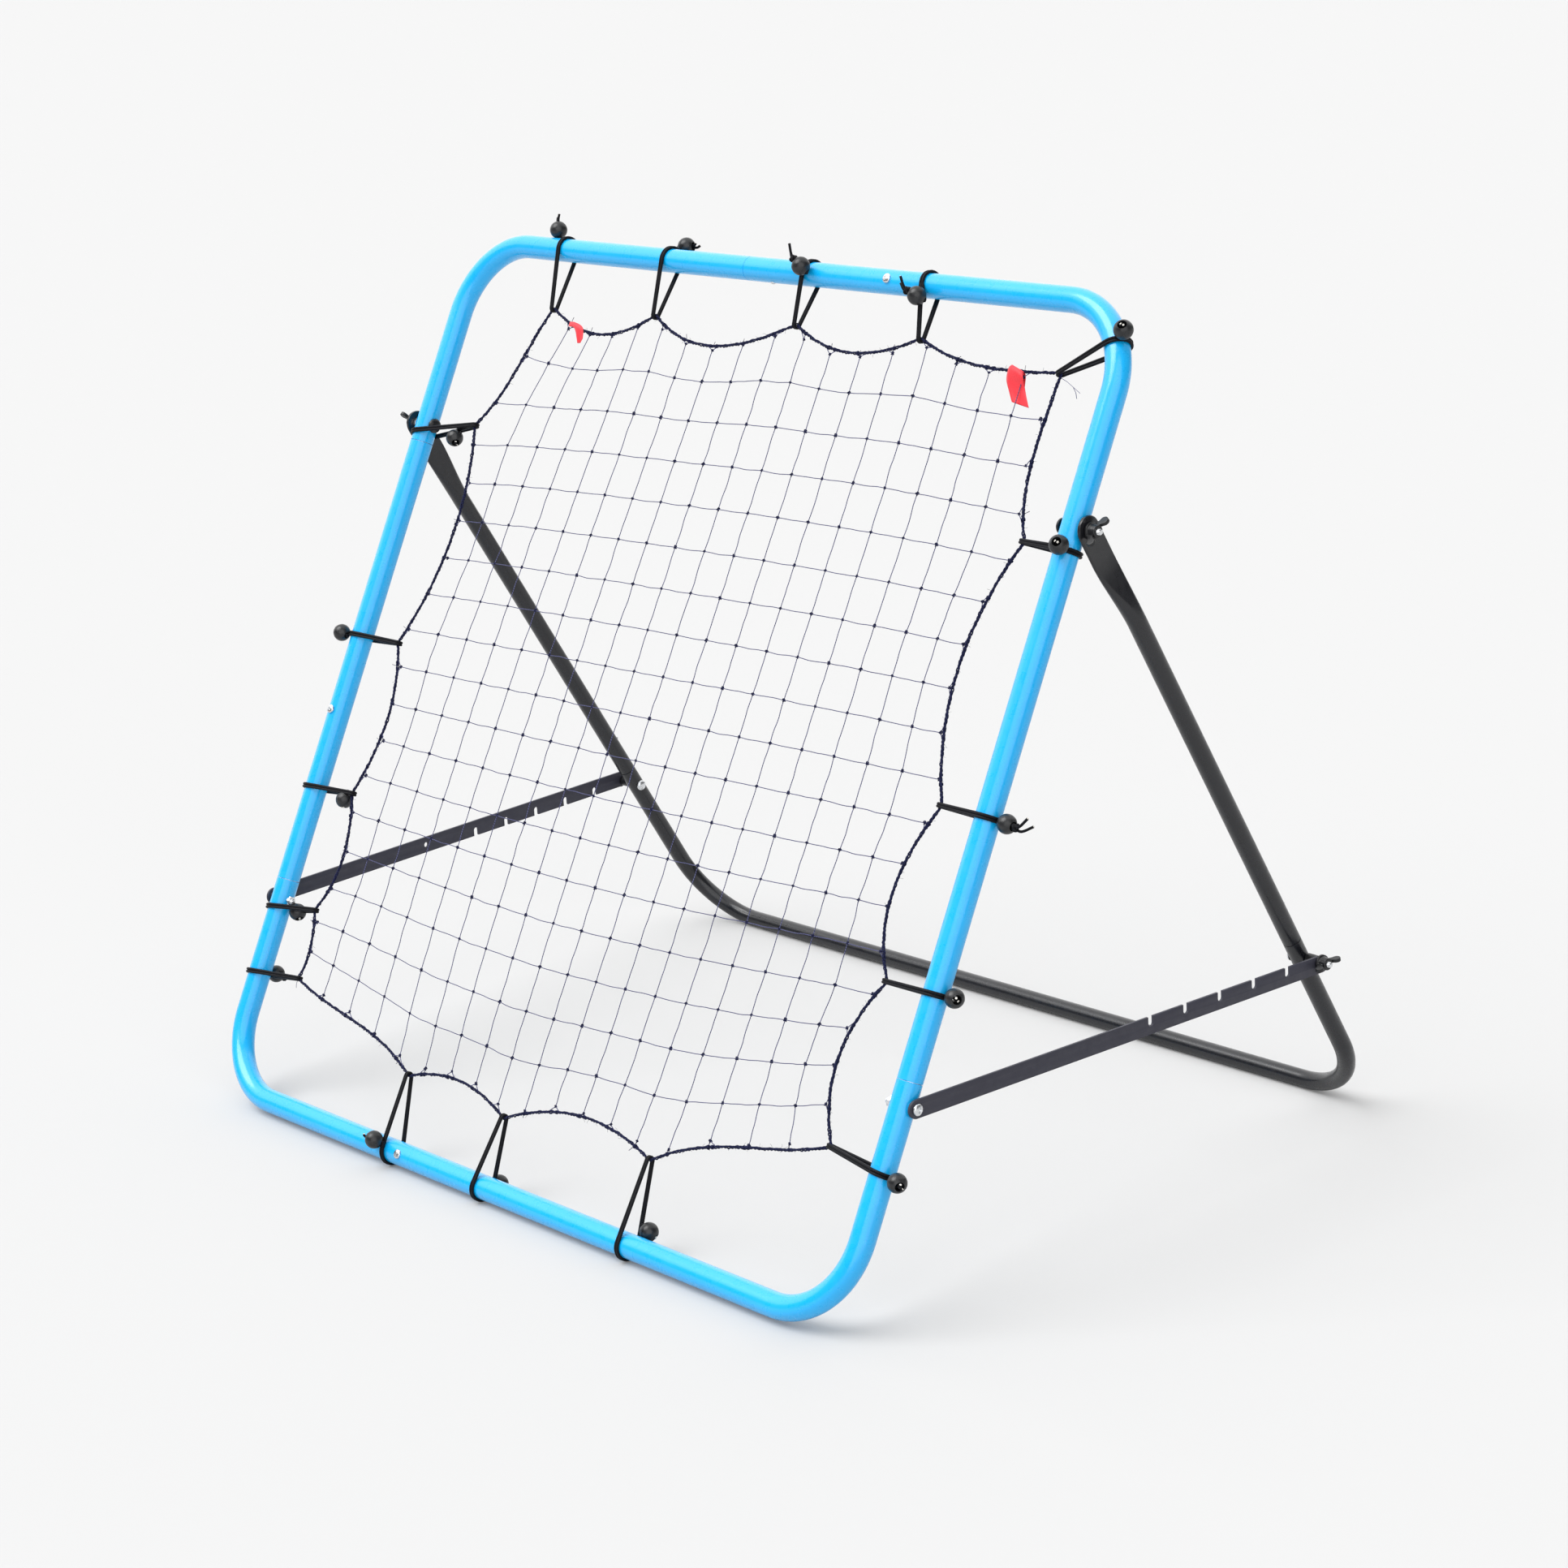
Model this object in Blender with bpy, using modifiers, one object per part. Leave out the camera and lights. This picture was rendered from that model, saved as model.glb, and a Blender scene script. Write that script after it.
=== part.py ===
"""Pitch back rebounder: a leaning square tube frame that holds a tensioned net, propped by a
folding U-shaped leg and two flat notched bars.

Metres, +Z up. The net faces -Y, the leg stands behind it at +Y, and +X is the user's right.
The origin is on the floor, under the middle of the object.

The frame's own plane has coordinates x (sideways), v (up along the side tubes from the bottom
tube's centre line) and n (out of the front of the net). The leg has x, a (down along the leg
from its pivot) and m (backwards, square to the leg).
"""
import math

import bmesh
import bpy
import numpy as np
from mathutils import Matrix, Vector

# ---------------------------------------------------------------- driving dimensions
GAP = 0.0003                # between pieces that touch

FRAME_SPAN = 0.975          # centre to centre of opposite frame tubes, both ways
FRAME_TUBE_R = 0.0125
TUBE_WALL = 0.0012
FRAME_BEND_R = 0.084        # centre line of the corner bends
FRAME_LEAN = math.radians(28.2)

SIDE_SEAM_LOW = 0.022       # side tube's lower seam above the bar's front screw
SIDE_SEAM_HIGH = 0.0206     # and its upper seam below the leg's pivot bolt
TOP_SEAM_X = -0.042
SLEEVE_REACH = 0.050        # inner joint sleeve past its seam
SLEEVE_CLEAR = 0.0035       # from a sleeve's end to the bolt that crosses the tube there
TOP_SCREW_X = 0.168         # pan screws in the front of the tubes
SIDE_SCREW_V = 0.428
BOTTOM_SCREW_X = -0.158
TUBE_SCREW_R = 0.0016
TUBE_SCREW_LENGTH = 0.006
TUBE_SCREW_HEAD_R = 0.0048
TUBE_SCREW_HEAD_HEIGHT = 0.0026

CORD_R = 0.0015             # elastic cord of the net ties
CORD_SLACK = 0.0005         # between a tie's cord and the frame tube
BALL_R = 0.0095
TIE_HOOK_R = 0.0062         # bend of a tie's cord round the border rope
ROPE_R = 0.0022             # border rope of the net
STRAND_R = 0.0007           # net twine
NET_MESHES = 18             # squares along each side of the net
NET_THIN = 2                # one modelled strand of twine stands for this many

PIVOT_V = 0.7616            # leg pivot's height along the frame
PIVOT_SPACER = 0.0036       # washer between frame tube and leg
PIVOT_SPACER_R = 0.0070
PIVOT_HEAD_R = 0.0080
PIVOT_HEAD_HEIGHT = 0.0050
FLAT_THICK = 0.003          # flattened top end of the leg
FLAT_HALF_WIDTH = 0.014
FLAT_LENGTH = 0.036
FLAT_FADE = 0.075           # length over which the flat becomes round
LEG_TUBE_R = 0.0095
LEG_TUBE_SET = 0.0057       # tube's centre line outside the middle of its flat
LEG_LENGTH = 0.776          # pivot to the centre line of the floor bar
LEG_BEND_R = 0.085
LEG_SEAM = 0.0245           # leg tube's seam above its leg bolt
LEG_BOLT_HEAD_R = 0.0060
LEG_BOLT_HEAD_HEIGHT = 0.0036

BAR_THICK = 0.0025
BAR_HEIGHT = 0.018
BAR_PIVOT_V = 0.212         # front screw height along the frame
BAR_WASHER = 0.0023         # between frame tube and bar
BAR_SKEW_CLEAR = 0.0005     # the toed-out bar sits askew between its washer and screw head
BAR_SPACER = 0.0133         # between leg tube and bar, so that the bar toes out past the leg
BAR_SPACER_R = 0.0058
BAR_BOLT_A = 0.5645         # leg bolt, down the leg from the pivot
NOTCHES = 6
NOTCH_PITCH = 0.0475
NOTCH_WIDTH = 0.0066
NOTCH_DEPTH = 0.0098
BAR_SPARE_HOLE = 0.222      # plain hole in the left bar, from its front screw

BOLT_R = 0.003
BOLT_CHAMFER = 0.0008
HOLE_CLEAR = 0.0003         # radial clearance of each bolt in its hole
BAR_HOLE_CLEAR = 0.0006     # the toed-out bar sits askew on its front screw
BOLT_PROUD = 0.0035         # thread that shows past a nut
BAR_SCREW_HEAD_R = 0.0057
BAR_SCREW_HEAD_HEIGHT = 0.0034
BAR_NUT_HEIGHT = 0.0045
WING_NUT_HEIGHT = 0.0105
WING_THICK = 0.0034
WING_END_X = 0.0128         # middle of each wing's round end, from the nut's axis
WING_END_R = 0.0040
HUB_R = 0.0080              # wing nut's flange
HUB_TOP_R = 0.0060

# ---------------------------------------------------------------- derived sizes
HALF = FRAME_SPAN / 2
FRAME_OUT_X = HALF + FRAME_TUBE_R
FRAME_IN_X = HALF - FRAME_TUBE_R
LOW_SEAM_V = BAR_PIVOT_V + SIDE_SEAM_LOW
HIGH_SEAM_V = PIVOT_V - SIDE_SEAM_HIGH
LEG_SEAM_A = BAR_BOLT_A - LEG_SEAM
FRAME_BASE_Z = FRAME_TUBE_R + CORD_SLACK + 2 * CORD_R    # the bottom ties pass under the tube
CORD_RING_R = FRAME_TUBE_R + CORD_SLACK + CORD_R         # centre line of a tie round the tube
BALL_OFF = FRAME_TUBE_R + BALL_R + GAP                   # nearest that a ball lies to a tube
FLAT_INNER_X = FRAME_OUT_X + GAP + PIVOT_SPACER + GAP
FLAT_MID_X = FLAT_INNER_X + FLAT_THICK / 2
LEG_X = FLAT_MID_X + LEG_TUBE_SET
LEG_OUT_X = LEG_X + LEG_TUBE_R
BAR_FRONT_X = FRAME_OUT_X + GAP + BAR_WASHER + BAR_SKEW_CLEAR + BAR_THICK / 2
BAR_REAR_X = LEG_OUT_X + 3 * GAP + BAR_SPACER + GAP + BAR_THICK / 2
NOTCH_OFFSET = BAR_HEIGHT / 2 - NOTCH_DEPTH + NOTCH_WIDTH / 2   # bolt off the bar's middle
UP = Vector((0, math.sin(FRAME_LEAN), math.cos(FRAME_LEAN)))
FRONT = Vector((0, -math.cos(FRAME_LEAN), math.sin(FRAME_LEAN)))
LEG_TILT = math.acos((FRAME_BASE_Z + PIVOT_V * UP.z - LEG_TUBE_R) / LEG_LENGTH)
LEG_DOWN = Vector((0, math.sin(LEG_TILT), -math.cos(LEG_TILT)))

COLLECTION = "pitch_back_rebounder"
FRAME_BLUE = (0.035, 0.42, 0.87, 1)
LEG_BLACK = (0.020, 0.022, 0.030, 1)
BAR_GREY = (0.045, 0.045, 0.060, 1)
PLASTIC_BLACK = (0.012, 0.012, 0.014, 1)
ZINC = (0.62, 0.63, 0.64, 1)
CORD_BLACK = (0.010, 0.010, 0.016, 1)
TWINE_NAVY = (0.010, 0.012, 0.030, 1)


# ---------------------------------------------------------------- scene helpers
def clear_scene():
    for obj in list(bpy.data.objects):
        bpy.data.objects.remove(obj, do_unlink=True)


def collection(name):
    col = bpy.data.collections.get(name)
    if col is None:
        col = bpy.data.collections.new(name)
        bpy.context.scene.collection.children.link(col)
    return col


def material(name, color, roughness, metallic=0.0):
    mat = bpy.data.materials.get(name)
    if mat is None:
        mat = bpy.data.materials.new(name)
        mat.use_nodes = True
        shader = mat.node_tree.nodes["Principled BSDF"]
        shader.inputs["Base Color"].default_value = color
        shader.inputs["Roughness"].default_value = roughness
        shader.inputs["Metallic"].default_value = metallic
    return mat


def powder_blue():
    return material("blue_powder_coat", FRAME_BLUE, 0.35)


def satin_black():
    return material("black_satin_coat", LEG_BLACK, 0.45)


def bar_grey():
    return material("dark_grey_coat", BAR_GREY, 0.6)


def black_plastic():
    return material("black_plastic", PLASTIC_BLACK, 0.35)


def zinc():
    return material("zinc_plate", ZINC, 0.3, 1.0)


def elastic():
    return material("black_elastic", CORD_BLACK, 0.8)


def add_object(name, data, mat, parent=None, matrix=None):
    """Link new data as an object whose matrix is in its parent's own axes."""
    obj = bpy.data.objects.new(name, data)
    collection(COLLECTION).objects.link(obj)
    data.materials.clear()
    data.materials.append(mat)
    obj.parent = parent
    obj.matrix_basis = matrix or Matrix.Identity(4)
    return obj


def add_axes(name, matrix):
    """An empty that holds a set of axes: the frame plane, the leg's hinge or a bar's hinge."""
    empty = bpy.data.objects.new(name, None)
    empty.empty_display_size = 0.05
    collection(COLLECTION).objects.link(empty)
    empty.matrix_world = matrix
    return empty


def mesh_from(bm, name):
    bmesh.ops.recalc_face_normals(bm, faces=bm.faces)
    mesh = bpy.data.meshes.new(name)
    bm.to_mesh(mesh)
    bm.free()
    mesh.shade_smooth()
    mesh.set_sharp_from_angle(angle=math.radians(35))
    return mesh


def evaluated_mesh(obj):
    """The object's mesh with its modifiers, or a curve's surface, as new mesh data."""
    bpy.context.view_layer.update()
    graph = bpy.context.evaluated_depsgraph_get()
    return bpy.data.meshes.new_from_object(obj.evaluated_get(graph), depsgraph=graph)


def combine(obj, tool_mesh, matrix, operation):
    """Cut a mesh from an object, or join it on, placed in the object's own axes."""
    tool = bpy.data.objects.new(operation.lower() + "_" + obj.name, tool_mesh)
    collection("cutters").objects.link(tool)
    tool.parent = obj.parent
    tool.matrix_basis = obj.matrix_basis @ matrix
    tool.hide_render = True
    tool.display_type = "WIRE"
    boolean = obj.modifiers.new(operation.lower(), "BOOLEAN")
    boolean.operation = operation
    boolean.solver = "EXACT"
    boolean.object = tool


def cut(obj, cutter_mesh, matrix):
    combine(obj, cutter_mesh, matrix, "DIFFERENCE")


def join(obj, other_mesh):
    combine(obj, other_mesh, Matrix.Identity(4), "UNION")


# ---------------------------------------------------------------- shape helpers
def along_x(point):
    """A matrix that turns a shape's own Z to +X and places it at a point."""
    return Matrix.Translation(point) @ Matrix.Rotation(math.radians(90), 4, "Y")


def cylinder_mesh(name, radius, length, segments=24):
    """A cylinder on Z from 0 to its length."""
    bm = bmesh.new()
    bmesh.ops.create_cone(bm, cap_ends=True, segments=segments, radius1=radius, radius2=radius,
                          depth=length, matrix=Matrix.Translation((0, 0, length / 2)))
    return mesh_from(bm, name)


def sphere_mesh(name, radius, centre):
    bm = bmesh.new()
    bmesh.ops.create_uvsphere(bm, u_segments=8, v_segments=6, radius=radius,
                              matrix=Matrix.Translation(centre))
    return mesh_from(bm, name)


def turned_mesh(name, profile, steps=12):
    """Turn (radius, height) points, which run down the outer side, about Z."""
    mesh = bpy.data.meshes.new(name)
    points = [(r, 0, h) for r, h in profile]
    mesh.from_pydata(points, [(i, i + 1) for i in range(len(points) - 1)], [])
    obj = bpy.data.objects.new(name, mesh)
    collection(COLLECTION).objects.link(obj)
    screw = obj.modifiers.new("turn", "SCREW")
    screw.steps = steps
    screw.render_steps = steps
    screw.use_merge_vertices = True
    screw.merge_threshold = 0.00001
    turned = evaluated_mesh(obj)
    bpy.data.objects.remove(obj)
    bpy.data.meshes.remove(mesh)
    turned.shade_smooth()
    turned.set_sharp_from_angle(angle=math.radians(35))
    return turned


def ring_profile(inner, outer, bottom, top):
    """A washer's section as a closed loop, outer side first."""
    return [(inner, top), (outer, top), (outer, bottom), (inner, bottom), (inner, top)]


def curve_mesh(points, radius, sides_step, closed=False, capped=True):
    """A round tube or cord along points, with 4 + 2 * sides_step sides."""
    curve = bpy.data.curves.new("path", "CURVE")
    curve.dimensions = "3D"
    curve.bevel_depth = radius
    curve.bevel_resolution = sides_step
    curve.use_fill_caps = capped
    spline = curve.splines.new("POLY")
    spline.points.add(len(points) - 1)
    for spot, point in zip(spline.points, points):
        spot.co = (*point, 1)
    spline.use_cyclic_u = closed
    obj = bpy.data.objects.new("path", curve)
    collection(COLLECTION).objects.link(obj)
    mesh = evaluated_mesh(obj)
    bpy.data.objects.remove(obj)
    bpy.data.curves.remove(curve)
    bm = bmesh.new()
    bm.from_mesh(mesh)
    bpy.data.meshes.remove(mesh)
    bmesh.ops.remove_doubles(bm, verts=bm.verts, dist=0.00001)
    return mesh_from(bm, "path")


def flat_mesh(outlines, thickness):
    """A flat plate from closed outlines in its own XY plane, the first one the outside."""
    curve = bpy.data.curves.new("plate", "CURVE")
    curve.dimensions = "2D"
    curve.fill_mode = "BOTH"
    curve.extrude = thickness / 2
    for outline in outlines:
        spline = curve.splines.new("POLY")
        spline.points.add(len(outline) - 1)
        for spot, (x, y) in zip(spline.points, outline):
            spot.co = (x, y, 0, 1)
        spline.use_cyclic_u = True
    obj = bpy.data.objects.new("plate", curve)
    collection(COLLECTION).objects.link(obj)
    mesh = evaluated_mesh(obj)
    bpy.data.objects.remove(obj)
    bpy.data.curves.remove(curve)
    bm = bmesh.new()
    bm.from_mesh(mesh)
    bpy.data.meshes.remove(mesh)
    bmesh.ops.remove_doubles(bm, verts=bm.verts, dist=0.00001)
    return mesh_from(bm, "plate")


def arc(centre, radius, start, end, steps):
    """Points of a 2D arc between two angles in degrees."""
    points = []
    for i in range(steps + 1):
        angle = math.radians(start + (end - start) * i / steps)
        points.append((centre[0] + radius * math.cos(angle), centre[1] + radius * math.sin(angle)))
    return points


def circle(centre, radius, steps=20):
    return arc(centre, radius, 0, 360 * (1 - 1 / steps), steps - 1)


def hollow_tube(name, points, radius, mat, parent, sides_step=4):
    """A tube with open ends and a real wall, along points in its parent's axes."""
    mesh = curve_mesh(points, radius, sides_step, capped=False)
    obj = add_object(name, mesh, mat, parent)
    wall = obj.modifiers.new("wall", "SOLIDIFY")
    wall.thickness = TUBE_WALL
    wall.offset = -1
    wall.use_even_offset = True
    return obj


def drill_across(obj, x_from, x_to, y, z, radius):
    """A round hole along X through an object that shares its parent's axes."""
    cut(obj, cylinder_mesh("drill", radius, x_to - x_from, 10), along_x((x_from, y, z)))


def frame_point(x, v, n=0.0):
    """A point of the frame plane in the frame's own axes: X, backwards, up along the frame."""
    return Vector((x, -n, v))


# ---------------------------------------------------------------- front frame
def frame_corner(sx, sv):
    """Centre line of one corner bend, from its side tube to its top or bottom tube."""
    centre = (sx * (HALF - FRAME_BEND_R), HALF + sv * (HALF - FRAME_BEND_R))
    side = 0 if sx > 0 else 180
    end = 90 if sv > 0 else (-90 if sx > 0 else 270)
    return arc(centre, FRAME_BEND_R, side, end, 6)


def frame_path(points):
    return [frame_point(x, v) for x, v in points]


def build_frame(axes):
    top = FRAME_SPAN
    half_gap = GAP / 2
    top_left = [(-HALF, HIGH_SEAM_V + half_gap), *frame_corner(-1, 1), (TOP_SEAM_X - half_gap, top)]
    top_right = [(HALF, HIGH_SEAM_V + half_gap), *frame_corner(1, 1), (TOP_SEAM_X + half_gap, top)]
    low_left = [(-HALF, LOW_SEAM_V - half_gap), *frame_corner(-1, -1)]
    low_right = [*reversed(frame_corner(1, -1)), (HALF, LOW_SEAM_V - half_gap)]
    tubes = {}
    for name, path in (("frame_tube_top_left", top_left), ("frame_tube_top_right", top_right),
                       ("frame_tube_bottom", low_left + low_right)):
        tubes[name] = hollow_tube(name, frame_path(path), FRAME_TUBE_R, powder_blue(), axes)
    for side, sx in (("left", -1), ("right", 1)):
        name = "frame_tube_side_" + side
        path = [(sx * HALF, LOW_SEAM_V + half_gap), (sx * HALF, HIGH_SEAM_V - half_gap)]
        tubes[name] = hollow_tube(name, frame_path(path), FRAME_TUBE_R, powder_blue(), axes)
        upper = tubes["frame_tube_top_" + side]
        lower = tubes["frame_tube_bottom"]
        x_in, x_out = sorted((sx * (HALF - 2 * FRAME_TUBE_R), sx * (HALF + 2 * FRAME_TUBE_R)))
        drill_across(upper, x_in, x_out, 0, PIVOT_V, BOLT_R + HOLE_CLEAR)
        drill_across(lower, x_in, x_out, 0, BAR_PIVOT_V, BOLT_R + HOLE_CLEAR)
    return tubes


def build_sleeve(name, start, end, tube_radius, axes):
    """An inner sleeve that joins two tube ends, from one point to another."""
    radius = tube_radius - TUBE_WALL - GAP
    hollow_tube(name, [start, end], radius, zinc(), axes)


def build_frame_sleeves(axes):
    low_end = BAR_PIVOT_V + BOLT_R + SLEEVE_CLEAR
    high_end = PIVOT_V - BOLT_R - SLEEVE_CLEAR
    for side, sx in (("left", -1), ("right", 1)):
        x = sx * HALF
        build_sleeve("frame_sleeve_low_" + side, frame_point(x, low_end),
                     frame_point(x, LOW_SEAM_V + SLEEVE_REACH), FRAME_TUBE_R, axes)
        build_sleeve("frame_sleeve_high_" + side, frame_point(x, HIGH_SEAM_V - SLEEVE_REACH),
                     frame_point(x, high_end), FRAME_TUBE_R, axes)
    build_sleeve("frame_sleeve_top", frame_point(TOP_SEAM_X - SLEEVE_REACH, FRAME_SPAN),
                 frame_point(TOP_SEAM_X + SLEEVE_REACH, FRAME_SPAN), FRAME_TUBE_R, axes)


def screw_with_shank(head_r, head_h, shank_r, shank_length):
    """A pan head screw on Z whose shank runs down from the head's underside at 0."""
    return [(0, head_h), (head_r * 0.45, head_h * 0.96), (head_r * 0.8, head_h * 0.7),
            (head_r, head_h * 0.3), (head_r, 0), (shank_r, 0), (shank_r, -shank_length),
            (0, -shank_length)]


def build_frame_screws(axes, tubes):
    """Pan screws in the front of the tubes."""
    places = {
        "top": (tubes["frame_tube_top_right"], TOP_SCREW_X, FRAME_SPAN),
        "side": (tubes["frame_tube_side_left"], -HALF, SIDE_SCREW_V),
        "bottom": (tubes["frame_tube_bottom"], BOTTOM_SCREW_X, 0),
    }
    face_front = Matrix.Rotation(math.radians(90), 4, "X")
    profile = screw_with_shank(TUBE_SCREW_HEAD_R, TUBE_SCREW_HEAD_HEIGHT, TUBE_SCREW_R,
                               TUBE_SCREW_LENGTH)
    for place, (tube, x, v) in places.items():
        seat = Matrix.Translation(frame_point(x, v, FRAME_TUBE_R + GAP)) @ face_front
        add_object("frame_screw_" + place, turned_mesh("screw", profile), zinc(), axes, seat)
        start = Matrix.Translation(frame_point(x, v, FRAME_TUBE_R - 3 * TUBE_WALL)) @ face_front
        cut(tube, cylinder_mesh("drill", TUBE_SCREW_R + HOLE_CLEAR, 6 * TUBE_WALL, 12), start)


# ---------------------------------------------------------------- net and its ties
# Ties, side by side round the net. Each has a hook on the net's border rope, given along the
# frame tube and in from its centre line, then the place along the tube where the cord goes
# round it, and the ball: along the tube, out from its centre line and to the front.
TIES = {
    "top": [
        ((-0.332, 0.065), -0.3380, (-0.364, 0.021, 0.000)),
        ((-0.166, 0.060), -0.167, (-0.165, 0.0203, -0.0125)),
        ((0.048, 0.053), 0.0487, (0.0545, 0.001, 0.0232)),
        ((0.225, 0.053), 0.2175, (0.2203, -0.0157, 0.0175)),
    ],
    "right": [
        ((0.741, 0.0545), 0.7390, (0.740, 0.0075, 0.020)),
        ((0.485, 0.0595), 0.4840, (0.483, 0.0245, 0.000)),
        ((0.315, 0.0625), 0.3160, (0.318, 0.0235, 0.000)),
        ((0.1545, 0.0705), 0.1470, (0.144, 0.0285, 0.009)),
    ],
    "left": [
        ((0.769, 0.0825), 0.7515, (0.752, -0.0545, 0.000)),
        ((0.517, 0.0645), 0.5150, (0.513, 0.0165, 0.014)),
        ((0.345, 0.0645), 0.3400, (0.336, -0.0545, 0.000)),
        ((0.211, 0.0610), 0.2030, (0.203, -0.0255, -0.006)),
        ((0.135, 0.0685), 0.1270, (0.130, 0.0015, -0.022)),
    ],
    "bottom": [
        ((-0.192, 0.078), -0.183, (-0.189, -0.006, 0.022)),
        ((-0.030, 0.072), -0.031, (-0.033, -0.006, -0.0215)),
        ((0.191, 0.084), 0.195, (0.206, -0.018, -0.012)),
    ],
}
# The top right corner's tie goes round the corner bend: hook and ball are measured in from
# the two tubes' centre lines, and the crossing is an angle round the bend
CORNER_HOOK = (0.0705, 0.071)
CORNER_ANGLE = math.radians(32)
CORNER_BALL = (-0.0012, 0.0270, 0.0130)

# Net mesh number of each hook along its side, corners included
HOOK_MESH = {
    "top": (0, 4.6, 9.6, 13.75, 18),
    "right": (0, 3.55, 9.55, 13.6, 18),
    "left": (0, 2.5, 8.4, 12.55, 15.65, 18),
    "bottom": (0, 4.45, 8.35, 13.6, 18),
}
INWARD = {"top": (0, -1), "bottom": (0, 1), "left": (1, 0), "right": (-1, 0)}
# Rope's sag between neighbouring hooks, and how far it leans to the first of them, both as a
# share of their distance
ROPE_SAG = {
    "top": ((0.154, -0.011), (0.134, 0.025), (0.127, 0.007), (0.061, 0.020)),
    "right": ((0.072, -0.038), (0.126, -0.001), (0.158, -0.028), (0.173, -0.006)),
    "left": ((0.040, -0.056), (0.109, 0.002), (0.123, 0.016), (0.143, -0.024), (0.114, -0.013)),
    "bottom": ((0.025, -0.043), (0.103, 0.004), (0.104, 0.001), (0.027, 0.046)),
}


def on_side(side, along, inset):
    """Frame plane point (x, v) at a place along one side tube and in from its centre line."""
    if side == "top":
        return (along, FRAME_SPAN - inset)
    if side == "bottom":
        return (along, inset)
    sx = 1 if side == "right" else -1
    return (sx * (HALF - inset), along)


def tie_points():
    """Every tie as its name, hook (x, v), crossing (x, v), ball (x, v, n) and the direction
    square to the tube."""
    ties = []
    for side, rows in TIES.items():
        for number, ((along, inset), cross, (ball_along, ball_out, ball_n)) in enumerate(rows, 1):
            name = f"{side}_{number}"
            square = -Vector(INWARD[side])
            offset = Vector((ball_out, ball_n))
            if offset.length < BALL_OFF:
                offset *= BALL_OFF / offset.length
            ball = (*on_side(side, ball_along, -offset.x), offset.y)
            ties.append((name, on_side(side, along, inset), on_side(side, cross, 0), ball, square))
    square = Vector((math.cos(CORNER_ANGLE), math.sin(CORNER_ANGLE)))
    bend = Vector((HALF - FRAME_BEND_R, FRAME_SPAN - FRAME_BEND_R))
    hook = (HALF - CORNER_HOOK[0], FRAME_SPAN - CORNER_HOOK[1])
    ball = (HALF - CORNER_BALL[0], FRAME_SPAN - CORNER_BALL[1], CORNER_BALL[2])
    ties.append(("corner", hook, tuple(bend + FRAME_BEND_R * square), ball, square))
    return ties


def hooks_by_name():
    return {name: hook for name, hook, *_ in tie_points()}


def side_hooks(side):
    """Hook points along one side of the net, left to right or top to bottom."""
    hooks = hooks_by_name()
    count = len(TIES[side])
    own = [hooks[f"{side}_{number}"] for number in range(1, count + 1)]
    if side == "top":
        return own + [hooks["corner"]]
    if side == "right":
        return [hooks["corner"]] + own
    if side == "left":
        return [hooks["top_1"]] + own
    return [hooks["left_5"]] + own + [hooks["right_4"]]


def border_point(side, hooks, t):
    """The border rope at mesh number t: straight or sagging inwards between two hooks."""
    marks = HOOK_MESH[side]
    k = max(i for i in range(len(marks) - 1) if marks[i] <= t)
    share = (t - marks[k]) / (marks[k + 1] - marks[k])
    start, end = np.array(hooks[k]), np.array(hooks[k + 1])
    span = np.linalg.norm(end - start)
    sag, lean = ROPE_SAG[side][k]
    sag = (sag + lean * (1 - 2 * share)) * span * 4 * share * (1 - share)
    return start + (end - start) * share + sag * np.array(INWARD[side])


def border_curves():
    """Functions of the mesh number for the four sides of the border rope."""
    curves = {}
    for side in INWARD:
        hooks = side_hooks(side)
        curves[side] = lambda t, side=side, hooks=hooks: border_point(side, hooks, t)
    return curves


def net_grid():
    """Knot places (x, v), rows from the top: the border is given, the inside is relaxed."""
    count = NET_MESHES + 1
    grid = np.zeros((count, count, 2))
    border = border_curves()
    for i in range(count):
        grid[0, i] = border["top"](i)
        grid[-1, i] = border["bottom"](i)
        grid[i, 0] = border["left"](i)
        grid[i, -1] = border["right"](i)
    share = np.linspace(0, 1, count)
    grid[1:-1, 1:-1] = (grid[1:-1, :1] * (1 - share[None, 1:-1, None])
                        + grid[1:-1, -1:] * share[None, 1:-1, None])
    for _ in range(600):
        inner = (grid[:-2, 1:-1] + grid[2:, 1:-1] + grid[1:-1, :-2] + grid[1:-1, 2:]) / 4
        grid[1:-1, 1:-1] = inner
    return grid


def hook_reach(hook, crossing, rope):
    """How far inside its hook a tie's cord crosses the net: further where the rope bends
    so sharply that its two runs come close to the cord."""
    index = min(range(len(rope)), key=lambda i: (rope[i] - hook).length)
    inward = hook - crossing
    reach = TIE_HOOK_R
    for beside in (rope[index - 1], rope[(index + 1) % len(rope)]):
        opening = min(inward.angle(beside - hook), math.pi / 2)
        reach = max(reach, (ROPE_R + CORD_R + 2 * GAP) / math.sin(opening))
    return reach


def tie_reaches():
    rope = [Vector(point) for point in rope_outline()]
    return {name: hook_reach(Vector(hook), Vector(crossing), rope)
            for name, hook, crossing, *_ in tie_points()}


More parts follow.
